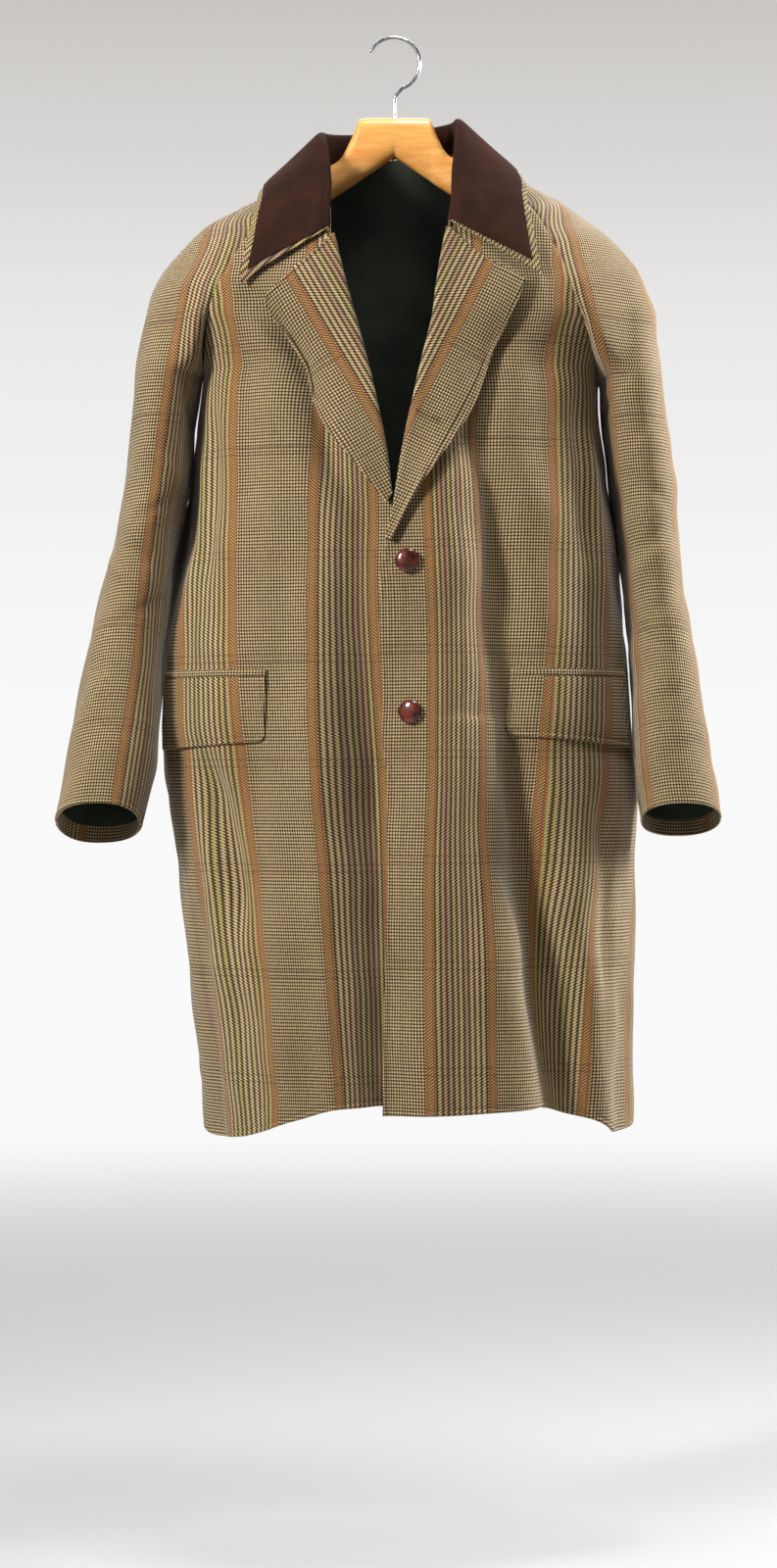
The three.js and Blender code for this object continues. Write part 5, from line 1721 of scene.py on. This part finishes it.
def make_velvet_collar():
    rows, columns = collar_across.shape
    down = np.linspace(0, 1, VELVET_ROWS)[:, None]
    leaf = np.linspace(0, 1, columns)[None]
    width = collar_across[:, -1]
    border = np.interp(leaf, (0, 0.5, 1), (0.6, 4, 0.6 + COLLAR_BORDER))
    first_step = collar_along[6] / 6
    last_step = (collar_along[-1] - collar_along[-7]) / 6
    row = lerp(border / first_step, (rows - 1) - border / last_step, down)
    inset = COLLAR_BORDER / np.interp(row[:, -1], np.arange(rows), width)
    target = VELVET_FOOT + (1 - inset[:, None] - VELVET_FOOT) * leaf
    mean_share = (collar_across / collar_across[:, -1:]).mean(axis=0)
    column = np.interp(target, mean_share, np.arange(columns))
    points = look_up(collar_points, row, column)
    normals = unit(look_up(collar_normals, row, column))
    across = line_lengths(points, 1)
    along = line_lengths(points, 0)
    edge = np.minimum(across[:, -1:] - across, np.minimum(along, along[-1] - along) + 0.01)
    plump = 1.1 * smooth(edge / 7) - 0.7
    near = points + normals * VELVET_GAP
    far = points + normals * (VELVET_GAP + VELVET_WALL + plump * 0.5)[..., None]
    uv = np.stack([along, across], axis=-1) * MM
    return wall("velvet_collar_top", far, near, uv, [VELVET])


made["under_collar"] = make_under_collar()
made["velvet_collar"] = make_velvet_collar()
print("velvet faces:", len(made["velvet_collar"].data.polygons))

# %% [markdown]
# ## Pocket flaps and jets
#
# Each flap hangs from a slit whose upper lip is a narrow jet. A flap is cut so that its bands meet
# those of the front, so it takes its UVs from the front under it. The jet is cut across the cloth.

# %% Flaps and jets
FLAP_WALL, FLAP_CORNER, FLAP_LEAN = 2.6, 9, 2.2
FLAP_WIDTH, FLAP_DEPTH, FLAP_SPACING = 125, 75, 3.5
TURN_LENGTH = 2.6  # millimetres of a front to one degree of turn, where the flaps are
JET_WIDTH, JET_SPACING, JET_ROWS = 120, 4.0, 9
JET_HEIGHT, JET_OUT, JET_GAP = 8.5, 2.6, 0.4
FLAP_COLUMNS = ("top_x", "foot_x", "side_turn", "top", "foot_front", "foot_side")
FLAP = {
    "right": dict(zip(FLAP_COLUMNS, (-138.5, -140, -77, -713, -783, -791))),
    "left": dict(zip(FLAP_COLUMNS, (136.5, 129.5, 74, -712, -776, -789))),
}


def flap_places(side, share, drop):
    flap = FLAP[side]
    front_x = lerp(flap["top_x"], flap["foot_x"], drop)
    foot = lerp(flap["foot_front"], flap["foot_side"], share)
    from_front = share * abs(flap["side_turn"]) * TURN_LENGTH
    short = np.clip(FLAP_CORNER - from_front, 0, FLAP_CORNER)
    cut = FLAP_CORNER - np.sqrt(FLAP_CORNER**2 - short**2)
    z = lerp(flap["top"], foot + cut * 0.8, drop)
    return lerp(turn_at(front_x, z), flap["side_turn"], share), z


def make_flap(side):
    shares = steps(FLAP_WIDTH, FLAP_SPACING, True, True)
    share, drop = np.meshgrid(shares, steps(FLAP_DEPTH, FLAP_SPACING, False, True))
    turn, z = flap_places(side, share, drop)
    uv = front_pattern(side, turn, z)
    points = over_body(turn, z, np.full(turn.shape, LAP_GAP))
    normals = body_normal(turn, z)
    across, down = line_lengths(points, 1), line_lengths(points, 0)
    edge = np.minimum(np.minimum(across, across[:, -1:] - across), down[-1] - down)
    lean = FLAP_LEAN * smooth(drop) * smooth(edge / 30)
    relief = edge_relief(edge) - 0.9 * np.exp(-((down / 3.0) ** 2)) + lean
    outer = points + normals * (FLAP_WALL + relief)[..., None]
    behind = np.ones((outer.shape[0] - 1, outer.shape[1] - 1), bool)
    return wall(f"tweed_flap_{side}", outer, points, uv, [TWEED, SATIN], inside=behind)


def make_jet(side):
    flap = FLAP[side]
    shares = steps(JET_WIDTH, JET_SPACING, True, True)
    share, rise = np.meshgrid(shares, np.linspace(0, 1, JET_ROWS))
    z = flap["top"] + JET_GAP + (JET_HEIGHT - JET_GAP) * rise
    turn = lerp(turn_at(flap["top_x"], flap["top"]), flap["side_turn"], share)
    points = over_body(turn, z, np.full(turn.shape, LAP_GAP))
    across = line_lengths(points, 1)
    ends = np.minimum(across, across[:, -1:] - across)
    height = JET_OUT * (0.42 + 0.58 * np.sin(math.pi * np.clip(0.16 + 0.84 * rise, 0, 1)))
    height = height * (0.5 + 0.5 * smooth(ends / 4))
    outer = points + body_normal(turn, z) * height[..., None]
    u = np.full(turn.shape, REPEAT * 0.7) + (z - flap["top"])
    uv = np.stack([u, across], axis=-1) * MM
    return wall(f"tweed_jet_{side}", outer, points, uv, [TWEED])


for side in SIDES:
    made[f"flap_{side}"] = make_flap(side)
    made[f"jet_{side}"] = make_jet(side)
print("flap depth:", FLAP["left"]["top"] - FLAP["left"]["foot_front"], "mm")

# %% [markdown]
# ## Buttons
#
# Domed, polished buttons in chestnut brown, with a marbled swirl under a hard gloss. A profile is
# turned round an axis that stands square to the coat where each button sits.

# %% Buttons
BUTTON_RADIUS = 12.8
BUTTON_SINK = 0.3
BUTTON_SIDES, BUTTON_ROWS, BUTTON_SHARP = 48, 55, 50
BUTTONS = {"button_upper": (16.2, -589.5), "button_lower": (20.0, -751.0)}


def chestnut():
    r = Recipe("chestnut_button")
    swirl = r.noise(r.place(), 95.0, 3.0, 0.65)
    spot = r.noise(r.place((1, 1, 2.2)), 240.0, 3.0)
    color = r.mix(r.ramp(swirl, 0.38, 0.62), rgb(40, 10, 3), rgb(96, 30, 10))
    color = r.mix(r.ramp(spot, 0.6, 0.72, 0.0, 0.5), color, rgb(150, 62, 24))
    return r.surface(color, 0.4, None, Coat_Weight=0.9, Coat_Roughness=0.03,
                     Specular_IOR_Level=0.15)


CHESTNUT = chestnut()
print("chestnut nodes:", len(CHESTNUT.node_tree.nodes))

# %% [markdown]
# A button, a hanger and a bent wire are all rings of points, closed by a fan of faces at each
# end, so one helper serves all three.

# %% Closed pieces from rings
def tube(name, rings, material, sharp_degrees):
    """A closed piece through rings of points in millimetres, with a fan of faces at each end."""
    rows, sides = rings.shape[:2]
    count = rows * sides
    points = np.concatenate([rings.reshape(-1, 3), rings[[0, -1]].mean(axis=1)])
    quads = grid_faces(rows, sides, 0, False, True)
    here = np.arange(sides)
    following = (here + 1) % sides
    low = np.stack([np.full(sides, count), following, here], axis=-1)
    high = np.stack([np.full(sides, count + 1), here, following], axis=-1)
    high[:, 1:] += count - sides
    faces = quads.tolist() + low.tolist() + high.tolist()
    mesh = bpy.data.meshes.new(name)
    mesh.from_pydata((points * MM).tolist(), [], faces)
    if signed_volume(points - points.mean(axis=0), quads) < 0:
        mesh.flip_normals()
    mesh.uv_layers.new(name="cloth")
    mesh.materials.append(material)
    mesh.polygons.foreach_set("use_smooth", np.ones(len(faces), bool))
    mesh.set_sharp_from_angle(angle=math.radians(sharp_degrees))
    return add_object(name, mesh)


def circle(count):
    """Angles evenly round a circle."""
    return np.linspace(0, 2 * math.pi, count, endpoint=False)


def turned(radius, height, sides, base, axis):
    """Rings of points for a profile that is turned round an axis at a base point."""
    across = unit(np.cross(axis, np.array([0.0, 0.0, 1.0])))
    angles = circle(sides)[:, None]
    ring = np.cos(angles) * across + np.sin(angles) * np.cross(axis, across)
    return base + height[:, None, None] * axis + radius[:, None, None] * ring


print("points round a button:", len(circle(BUTTON_SIDES)))

# %% [markdown]
# The profile is a smooth curve through a few heights, each with its share of the button's radius:
# a foot, a round edge and a dome.

# %% The two buttons
button_table = table("""
along radius height
0 0.046875 0
1 0.3515625 0
2 0.3515625 2.2
3 0.72 2.8
4 0.94 4
5 1 5.4
6 0.9 7.2
7 0.66 8.6
8 0.34 9.3
9 0.03125 9.5
""")
stations = np.linspace(0, button_table["along"][-1], BUTTON_ROWS)
button_radius, button_height = (
    curve(button_table, "along", column)(stations) for column in ("radius", "height"))
button_radius = button_radius * BUTTON_RADIUS
for name, (x, z) in BUTTONS.items():
    turn = turn_at(x, z)
    base = over_body(turn, z, overlap_lift("left", x, z) - BUTTON_SINK)
    rings = turned(button_radius, button_height, BUTTON_SIDES, base, body_normal(turn, z))
    made[name] = tube(f"chestnut_{name}", rings, CHESTNUT, BUTTON_SHARP)
print("buttons:", 2 * BUTTON_RADIUS, "mm across")

# %% [markdown]
# ## Stitches and buttonholes
#
# Along the front edges, lapels and flaps runs a row of small pick stitches, and the buttonholes are
# worked in silk twist: hundreds of short stitches side by side round a slit. What repeats is a task
# for Geometry Nodes. The tree walks along a curve and sets one stitch at each step.

# %% A stitching tree
TREE_INPUTS = {"Path": "Geometry", "Spacing": "Float", "Size": "Vector", "Turn": "Vector",
               "Thread": "Material"}
TREE_NODES = {
    "given": "NodeGroupInput", "walk": "GeometryNodeCurveToPoints",
    "bead": "GeometryNodeMeshIcoSphere", "turned": "FunctionNodeRotateRotation",
    "euler": "FunctionNodeEulerToRotation", "place": "GeometryNodeInstanceOnPoints",
    "real": "GeometryNodeRealizeInstances", "paint": "GeometryNodeSetMaterial",
    "out": "NodeGroupOutput",
}
TREE_LINKS = (  # from a node's output to a node's input
    ("given", "Path", "walk", "Curve"), ("given", "Spacing", "walk", "Length"),
    ("walk", "Points", "place", "Points"), ("walk", "Rotation", "turned", "Rotation"),
    ("given", "Turn", "euler", 0), ("euler", 0, "turned", "Rotate By"),
    ("turned", 0, "place", "Rotation"), ("bead", "Mesh", "place", "Instance"),
    ("given", "Size", "place", "Scale"), ("place", 0, "real", 0),
    ("real", 0, "paint", "Geometry"), ("given", "Thread", "paint", "Material"),
    ("paint", 0, "out", 0),
)


def stitching_tree():
    tree = bpy.data.node_groups.new("stitching", "GeometryNodeTree")
    for name, kind in TREE_INPUTS.items():
        tree.interface.new_socket(name, in_out="INPUT", socket_type=f"NodeSocket{kind}")
    tree.interface.new_socket("Stitches", in_out="OUTPUT", socket_type="NodeSocketGeometry")
    nodes = {name: tree.nodes.new(kind) for name, kind in TREE_NODES.items()}
    nodes["walk"].mode = "LENGTH"
    nodes["turned"].rotation_space = "LOCAL"
    nodes["bead"].inputs["Subdivisions"].default_value = 1
    nodes["bead"].inputs["Radius"].default_value = 1.0
    for start, output, end, socket in TREE_LINKS:
        tree.links.new(nodes[start].outputs[output], nodes[end].inputs[socket])
    return tree


def thread(name, first, second):
    r = Recipe(name)
    twist = r.noise(r.place(), 2400.0, 2.0)
    color = r.mix(r.ramp(twist, 0.35, 0.65), first, second)
    return r.surface(color, 0.6, None, Sheen_Weight=0.2, Specular_IOR_Level=0.3)


STITCHING = stitching_tree()
TONAL = thread("tonal_thread", rgb(66, 46, 24), rgb(104, 80, 46))
TWIST = thread("silk_twist", rgb(74, 56, 28), rgb(112, 92, 52))
print("nodes in the stitching tree:", len(STITCHING.nodes))

# %% [markdown]
# A modifier's inputs are set by each socket's identifier. The result is kept as a plain mesh, and
# the curve that carried the modifier is removed.

# %% Running the tree along lines
NO_TURN = (0, 0, 0)


def stitched(name, lines, spacing, size, turn, material):
    """Stitches along lines of points in millimetres, made by the tree and kept as a plain mesh."""
    path = bpy.data.curves.new(name, "CURVE")
    path.dimensions = "3D"
    path.twist_mode = "Z_UP"
    for line in lines:
        spline = path.splines.new("POLY")
        spline.points.add(len(line) - 1)
        flat = np.concatenate([line * MM, np.ones((len(line), 1))], axis=1)
        spline.points.foreach_set("co", flat.astype(np.float32).ravel())
    walker = add_object(name + "_path", path)
    modifier = walker.modifiers.new("stitching", "NODES")
    modifier.node_group = STITCHING
    values = {"Spacing": spacing * MM, "Size": [k * MM for k in size], "Turn": turn,
              "Thread": material}
    for item in STITCHING.interface.items_tree:
        if item.in_out == "INPUT" and item.name in values:
            modifier[item.identifier] = values[item.name]
    graph = bpy.context.evaluated_depsgraph_get()
    mesh = bpy.data.meshes.new_from_object(walker.evaluated_get(graph))
    mesh.polygons.foreach_set("use_smooth", np.ones(len(mesh.polygons), bool))
    bpy.data.objects.remove(walker)
    return add_object(name, mesh)


def inset_line(grid, distance, from_last=False):
    """The line on a surface that runs at a distance from its first, or last, column."""
    lengths = line_lengths(grid, 1)
    at = lengths[:, -1] - distance if from_last else np.full(len(grid), distance)
    rows = zip(at, lengths, grid)
    return np.array([[np.interp(a, b, points[:, k]) for k in range(3)] for a, b, points in rows])


def raised(line, height):
    """The same line, moved out from the front of the coat."""
    return line + np.array([0, -height, 0])


print("a line of stitches runs", STITCH_INSET, "mm from an edge")

# %% [markdown]
# The rows follow the front edges below the lapels, the lapels' outer edges, and three sides of
# each flap.

# %% Pick stitches
stitches = {}  # the stitch pieces on each node
PICK_SIZE = (0.32, 0.32, 1.15)
PICK_SPACING = 4.6
PICK_RISE = 0.12
for side in SIDES:
    front = surfaces[f"tweed_front_{side}"]
    edge = inset_line(front, STITCH_INSET)
    edge = edge[edge[:, 2] < LAPEL_FOOT[side] - 14]
    lapel = inset_line(surfaces[f"tweed_lapel_{side}"], STITCH_INSET, True)[4:-14]
    flap = surfaces[f"tweed_flap_{side}"]
    near, far = inset_line(flap, STITCH_INSET), inset_line(flap, STITCH_INSET, True)
    foot = inset_line(flap.transpose(1, 0, 2), STITCH_INSET, True)
    drop = near[:, 2] > foot[8, 2] + 3
    lines = {
        f"front_{side}": [edge], f"lapel_{side}": [lapel],
        f"flap_{side}": [near[drop], foot[9:-9], far[far[:, 2] > foot[-8, 2] + 3]],
    }
    for node, parts in lines.items():
        parts = [raised(part, PICK_RISE) for part in parts]
        name = f"pick_stitches_{node}"
        stitches[node] = [stitched(name, parts, PICK_SPACING, PICK_SIZE, NO_TURN, TONAL)]
print("rows of stitches:", len(stitches))

# %% [markdown]
# ## Buttonholes
#
# A keyhole buttonhole has a round eye at the edge's end, where the button's shank sits, and a slit.
# The same tree walks round its outline, closely enough for the stitches to touch.

# %% Buttonholes
HOLE_EYE, HOLE_HALF = 2.1, 1.0
HOLE_SPACING, HOLE_STITCH, HOLE_RISE = 0.55, (0.9, 0.3, 0.3), 0.25
HOLE_REACH = (-16.5, 6.0)  # from the button's middle to the hole's two ends
LAPEL_HOLE = ((49.0, -438.0), (25.0, -427.0))


def nearest_on(grid, x, z):
    """The point of a surface that lies at x and z when it is seen from the front."""
    away = (grid[..., 0] - x) ** 2 + (grid[..., 2] - z) ** 2
    return grid.reshape(-1, 3)[np.argmin(away)]


def buttonhole(name, grid, start, end):
    """A slit from start to end, both (x, z), with a round eye at its start, worked all round."""
    start, end = np.array(start, float), np.array(end, float)
    along = (end - start) / np.linalg.norm(end - start)
    across = np.array([-along[1], along[0]])
    length = np.linalg.norm(end - start)
    turns = np.radians(np.linspace(325, 35, 13))
    eye = [(HOLE_EYE * (1 - math.cos(t)), HOLE_EYE * math.sin(t)) for t in turns]
    foot = [(length, -HOLE_HALF), (length + 0.8, 0)]
    outline = [(length, HOLE_HALF), *eye, *foot]
    flat = np.array([start + along * a + across * b for a, b in outline])
    depth = np.array([nearest_on(grid, x, z)[1] for x, z in flat])
    line = np.stack([flat[:, 0], depth - HOLE_RISE, flat[:, 1]], axis=-1)
    dense = through(line[None], 6)[0]
    closed = np.concatenate([dense, dense[:1]])
    return stitched(name, [closed], HOLE_SPACING, HOLE_STITCH, NO_TURN, TWIST)


for name, (x, z) in BUTTONS.items():
    start, end = (x + HOLE_REACH[0], z + 0.5), (x + HOLE_REACH[1], z)
    hole = buttonhole(f"{name}_hole", surfaces["tweed_front_left"], start, end)
    stitches["front_left"].append(hole)
hole = buttonhole("lapel_hole", surfaces["tweed_lapel_left"], *LAPEL_HOLE)
stitches["lapel_left"].append(hole)
print("buttonholes:", len(BUTTONS) + 1)

# %% [markdown]
# ## The hanger
#
# A contoured hanger is bent and shaped from one board: a tall block at the neck, arms that follow
# the shoulders, and a notch cut in the underside. Sections along the board give the form, and its
# faces meet in the soft ridge down the middle. Varnished wood has a clear coat over long grain.

# %% Wood and steel
def varnished_wood():
    r = Recipe("varnished_wood")
    grain = r.noise(r.place((6, 60, 70)), 2.0, 5.0, 0.6)
    rings = r.noise(r.place((3, 20, 26)), 1.2, 2.0)
    pores = r.noise(r.place((60, 900, 900)), 1.0, 2.0)
    color = r.mix(r.ramp(grain, 0.3, 0.7), rgb(206, 138, 62), rgb(220, 164, 88))
    color = r.mix(r.ramp(rings, 0.45, 0.7, 0.0, 0.5), color, rgb(196, 120, 48))
    color = r.mix(r.ramp(pores, 0.62, 0.75, 0.0, 0.3), color, rgb(150, 84, 30))
    return r.surface(color, 0.42, r.bump(grain, 0.0003, 0.3), Coat_Weight=0.5, Coat_Roughness=0.18)


def plated_steel():
    r = Recipe("plated_steel")
    brushed = r.noise(r.place((900, 900, 60)), 1.0, 2.0)
    color = r.mix(r.ramp(brushed, 0.3, 0.7), rgb(176, 178, 182), rgb(206, 208, 212))
    return r.surface(color, r.ramp(brushed, 0.3, 0.7, 0.2, 0.32), None, Metallic=1.0)


WOOD = varnished_wood()
STEEL = plated_steel()
print("wood nodes:", len(WOOD.node_tree.nodes))

# %% [markdown]
# Each section of the board is a squarish ring between its top and its foot. The arms' tops follow
# the shoulders' own table from inside.

# %% Hanger body
HANGER_MIDDLE = 1
HANGER = table("""
x top foot depth
0 -88 -131 13
26 -88 -149 13
38 -89 -157 13
46 -106 -163 13.5
54 -122 -168 14
66 -139 -176 15
84 -152 -187 16
120 -170 -208 18
160 -189 -228 21
196 -214 -246 24
208 -226 -246 22
""")
HANGER_SIDES, HANGER_POWER = 48, 0.75
HANGER_END, ARM_HEIGHT, ARMS_FORWARD = 208, 36, 6
ALL_SMOOTH = 180
SHOULDER_ROWS = 10  # the body's table down to the widest part of the shoulders
read_hanger = {name: curve(HANGER, "x", name) for name in ("top", "foot", "depth")}
shoulder_line = {
    side: curve({side: BODY[side][:SHOULDER_ROWS], "z": BODY["z"][:SHOULDER_ROWS]}, side, "z")
    for side in SIDES
}


UNDER_SHOULDER = 4.2  # the wood's top under the middle of the cloth's outside


def hanger_top(x):
    away = np.abs(x - HANGER_MIDDLE)
    right, left = (shoulder_line[side](np.abs(x)) for side in SIDES)
    under = np.where(x < 0, right, left) - UNDER_SHOULDER
    eased = under - 2.5 * smooth((away - 105) / 45) - 8 * smooth((away - 190) / 18)
    return lerp(read_hanger["top"](away), eased, smooth((away - 50) / 24))


def make_hanger():
    parts = (np.linspace(0, 60, 49), np.linspace(63, 200, 40), np.linspace(201.5, HANGER_END, 8))
    away = np.concatenate(parts)
    x = HANGER_MIDDLE + np.unique(np.concatenate([-away, away]))
    away = np.abs(x - HANGER_MIDDLE)
    top = hanger_top(x)
    foot = lerp(read_hanger["foot"](away), top - ARM_HEIGHT, smooth((away - 60) / 60))
    depth = read_hanger["depth"](away)
    end = 1 - 0.5 * smooth((away - 200) / 8) ** 2
    angle = circle(HANGER_SIDES)
    across = signed_power(np.sin(angle), HANGER_POWER)
    rise = signed_power(np.cos(angle), HANGER_POWER)
    y = -ARMS_FORWARD * smooth((away - 60) / 140)[:, None] + (depth * end)[:, None] * across
    z = ((top + foot) / 2)[:, None] + ((top - foot) / 2 * end)[:, None] * rise
    rings = np.stack([np.broadcast_to(x[:, None], y.shape), y, z], axis=-1)
    return tube("wooden_hanger", rings, WOOD, ALL_SMOOTH)


made["hanger_body"] = make_hanger()
print("hanger:", 2 * int(HANGER["x"][-1]), "mm wide")

# %% [markdown]
# ## The hook
#
# The hook is one wire: most of a circle, then a stem that goes down into the wood. Rings of points
# along a path make any wire or pipe, and its tip is rounded by smaller rings.

# %% Hook
HOOK_INNER, WIRE = 27.0, 2.0
HOOK_TIP, HOOK_END, HOOK_STEP = 155, -76, -5.5  # degrees round the hook's middle
STEM_X, STEM_FOOT = 1.0, -108.0
WIRE_SIDES, HOOK_SHARP = 16, 60


def make_hook():
    radius = HOOK_INNER + WIRE
    turns = np.radians(np.arange(HOOK_TIP, HOOK_END, HOOK_STEP))
    line = [(radius * math.cos(t), -HOOK_INNER + radius * math.sin(t)) for t in turns]
    line += [(STEM_X + 1.2, -HOOK_INNER - radius - 7), (STEM_X, -HOOK_INNER - radius - 14)]
    line += [(STEM_X, STEM_FOOT + 22), (STEM_X, STEM_FOOT)]
    flat = np.array(line)
    path = np.stack([flat[:, 0], np.zeros(len(flat)), flat[:, 1]], axis=-1)
    path = through(path[None], 4)[0]
    tangent = unit(np.gradient(path, axis=0))
    side = np.array([0.0, 1.0, 0.0])
    other = np.cross(tangent, side)
    angle = circle(WIRE_SIDES)[None, :, None]
    tip = np.sin(np.linspace(0.3, math.pi / 2, 5))
    thick = WIRE * np.concatenate([tip, np.ones(len(path) - len(tip))])
    ring = np.cos(angle) * side + np.sin(angle) * other[:, None]
    rings = path[:, None] + ring * thick[:, None, None]
    return tube("steel_hook", rings, STEEL, HOOK_SHARP)


made["hanger_hook"] = make_hook()
print("hook:", 2 * WIRE, "mm wire, the inside of its top at the origin")

# %% [markdown]
# ## Light, floor and sky
#
# A white studio is large soft lamps, a pale floor and a pale wall. The floor is one plane, and far
# out it fades into the sky's own colour. Floor and sky are white behind the coat and dim in front
# of it, as in a room lit from windows at its sides, so that the folds keep their shade.

# %% Floor
FLOOR_LEVEL, FLOOR_REACH = -1.69, 40.0
FLOOR_COLOR, FLOOR_FADE = (0.42, 0.42, 0.42, 1), (1.0, 5.0)
SKY_LOW = (0.95, 0.95, 0.95, 1)
SKY = [(0.02, SKY_LOW), (0.12, (0.84, 0.83, 0.83, 1)), (0.22, (0.56, 0.54, 0.52, 1)),
       (0.28, (0.3, 0.3, 0.3, 1)), (0.45, (0.1, 0.1, 0.1, 1))]
FRONT_SHARE = 0.26  # how bright the room is away from the white wall behind the coat
WALL_EDGE = (0.3, 0.8)  # where the room begins to brighten towards that wall, and where it is white


def make_floor():
    mesh = bpy.data.meshes.new("floor")
    signs = ((-1, -1), (1, -1), (1, 1), (-1, 1))
    corners = [(x * FLOOR_REACH, y * FLOOR_REACH, FLOOR_LEVEL) for x, y in signs]
    mesh.from_pydata(corners, [], [(0, 1, 2, 3)])
    floor = add_object("floor", mesh)
    r = Recipe("pale_floor")
    x, y = r.split(r.place())
    radius = r.maths("SQRT", r.add(r.times(x, x), r.times(y, y)))
    far = r.ramp(radius, *FLOOR_FADE)
    shader = r.node("ShaderNodeBsdfPrincipled")
    shader.inputs["Base Color"].default_value = FLOOR_COLOR
    shader.inputs["Roughness"].default_value = 0.6
    glow = r.node("ShaderNodeEmission")
    glow.inputs[0].default_value = SKY_LOW
    r.feed(glow.inputs[1], r.ramp(r.maths("DIVIDE", y, radius), *WALL_EDGE, FRONT_SHARE, 1.0))
    blend = r.node("ShaderNodeMixShader")
    for socket, value in zip(blend.inputs, (far, shader.outputs[0], glow.outputs[0])):
        r.feed(socket, value)
    mesh.materials.append(r.show(blend))


make_floor()
print("floor", FLOOR_LEVEL, "m below the hook's top")

# %% [markdown]
# The sky is a ramp by height, from a white wall to a dark ceiling, times the floor's own share by
# direction.

# %% Sky
def make_sky():
    world = bpy.data.worlds.new("studio")
    bpy.context.scene.world = world
    world.use_nodes = True
    tree = world.node_tree
    tree.nodes.clear()
    place, split, ramp, share, ground, output = (tree.nodes.new(f"ShaderNode{kind}") for kind in (
        "TexCoord", "SeparateXYZ", "ValToRGB", "MapRange", "Background", "OutputWorld"))
    first, last = ramp.color_ramp.elements
    first.position, first.color = SKY[0]
    last.position, last.color = SKY[-1]
    for position, color in SKY[1:-1]:
        ramp.color_ramp.elements.new(position).color = color
    range_of = {"From Min": WALL_EDGE[0], "From Max": WALL_EDGE[1], "To Min": FRONT_SHARE}
    for name, value in range_of.items():
        share.inputs[name].default_value = value
    for start, end in (
        (place.outputs["Generated"], split.inputs[0]), (split.outputs[2], ramp.inputs[0]),
        (split.outputs[1], share.inputs[0]), (ramp.outputs[0], ground.inputs[0]),
        (share.outputs[0], ground.inputs[1]), (ground.outputs[0], output.inputs[0]),
    ):
        tree.links.new(start, end)


make_sky()
print("steps in the sky:", len(SKY))

# %% [markdown]
# A lamp stands at each side, a small one above brightens the shoulders, and one lights the floor
# behind. An area lamp shines along its own -Z, so it is turned to face its target.

# %% Lamps
LAMPS = (  # name, place, what it faces, its width and height, watts
    ("window_left", (-2.3, -2.0, 0.7), (0, 0, -0.6), (0.5, 1.0), 158),
    ("window_right", (2.6, 0.35, 0.1), (0, 0, -0.55), (0.5, 1.1), 155),
    ("above", (0.35, -0.7, 1.9), (0, 0, -0.3), (0.9, 0.5), 60),
    ("behind", (0, 2.4, 1.6), (0, 0.6, -1.2), (2.4, 1.6), 60),
)
for name, place, target, size, power in LAMPS:
    data = bpy.data.lights.new(name, "AREA")
    data.shape = "RECTANGLE"
    data.size, data.size_y = size
    data.energy = power
    light = add_object(name, data)
    light.location = place
    x, y, z = np.subtract(target, place)
    light.rotation_euler = (math.atan2(math.hypot(x, y), -z), 0, math.atan2(x, -y) + math.pi)
bpy.context.scene.view_settings.view_transform = "Standard"
print("lamps:", len(LAMPS))

# %% [markdown]
# ## Each piece in place of its part
#
# Every piece stands for its node, whose own part is hidden, and moves with the one body. For a
# piece of cloth the size of its cut is measured: its widest line across, its longest line down, and
# the area between them.

# %% Pieces and their cuts
SLOT_OF = {"sleeve_lining": "lining", "velvet": "velvet", "button": "button", "hanger_body": "wood",
           "hanger_hook": "steel"}
HELD = {  # how each kind of cloth piece is held, and what it lies on
    "front": ("hung", "hanger_body"), "back": ("hung", "hanger_body"),
    "sleeve_front": ("hung", "hanger_body"), "sleeve_back": ("hung", "hanger_body"),
    "sleeve_lining": ("hung", "sleeve_front_{side} sleeve_back_{side}"),
    "lapel": ("folded", "front_{side}"), "flap": ("hung", "front_{side}"),
    "jet": ("stretched", "front_{side}"), "under_collar": ("folded", "back"),
    "velvet_collar": ("folded", "under_collar"),
}
NARROWEST_CUT = 0.0105  # a jet's edge is turned in, which adds 2 mm to its cut


def starting(choices, node, otherwise=None):
    return next((value for start, value in choices.items() if node.startswith(start)), otherwise)


def cut_of(grid):
    """Width, length and area of a piece's cut, in metres, measured over its surface."""
    grid = grid * MM
    width = float(line_lengths(grid, 1)[:, -1].max())
    length = float(line_lengths(grid, 0)[-1].max())
    a, b = grid[1:, 1:] - grid[:-1, :-1], grid[1:, :-1] - grid[:-1, 1:]
    area = float(np.linalg.norm(np.cross(a, b), axis=-1).sum() / 2)
    return width, length, min(area, width * length)


for node, piece in made.items():
    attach(piece, "root")
    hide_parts(node)
    starting(SLOT_OF, node, "tweed")
    for extra in stitches.get(node, []):
        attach(extra, "root")
    if piece.name in surfaces:
        width, length, area = cut_of(surfaces[piece.name])
        length = max(length, NARROWEST_CUT)
        held, beneath = starting(HELD, node)
        rests_on = beneath.format(side=node.split("_")[-1]).split()
        print(f"{node}: {width:.3f} x {length:.3f} m, {area:.3f} square metres")
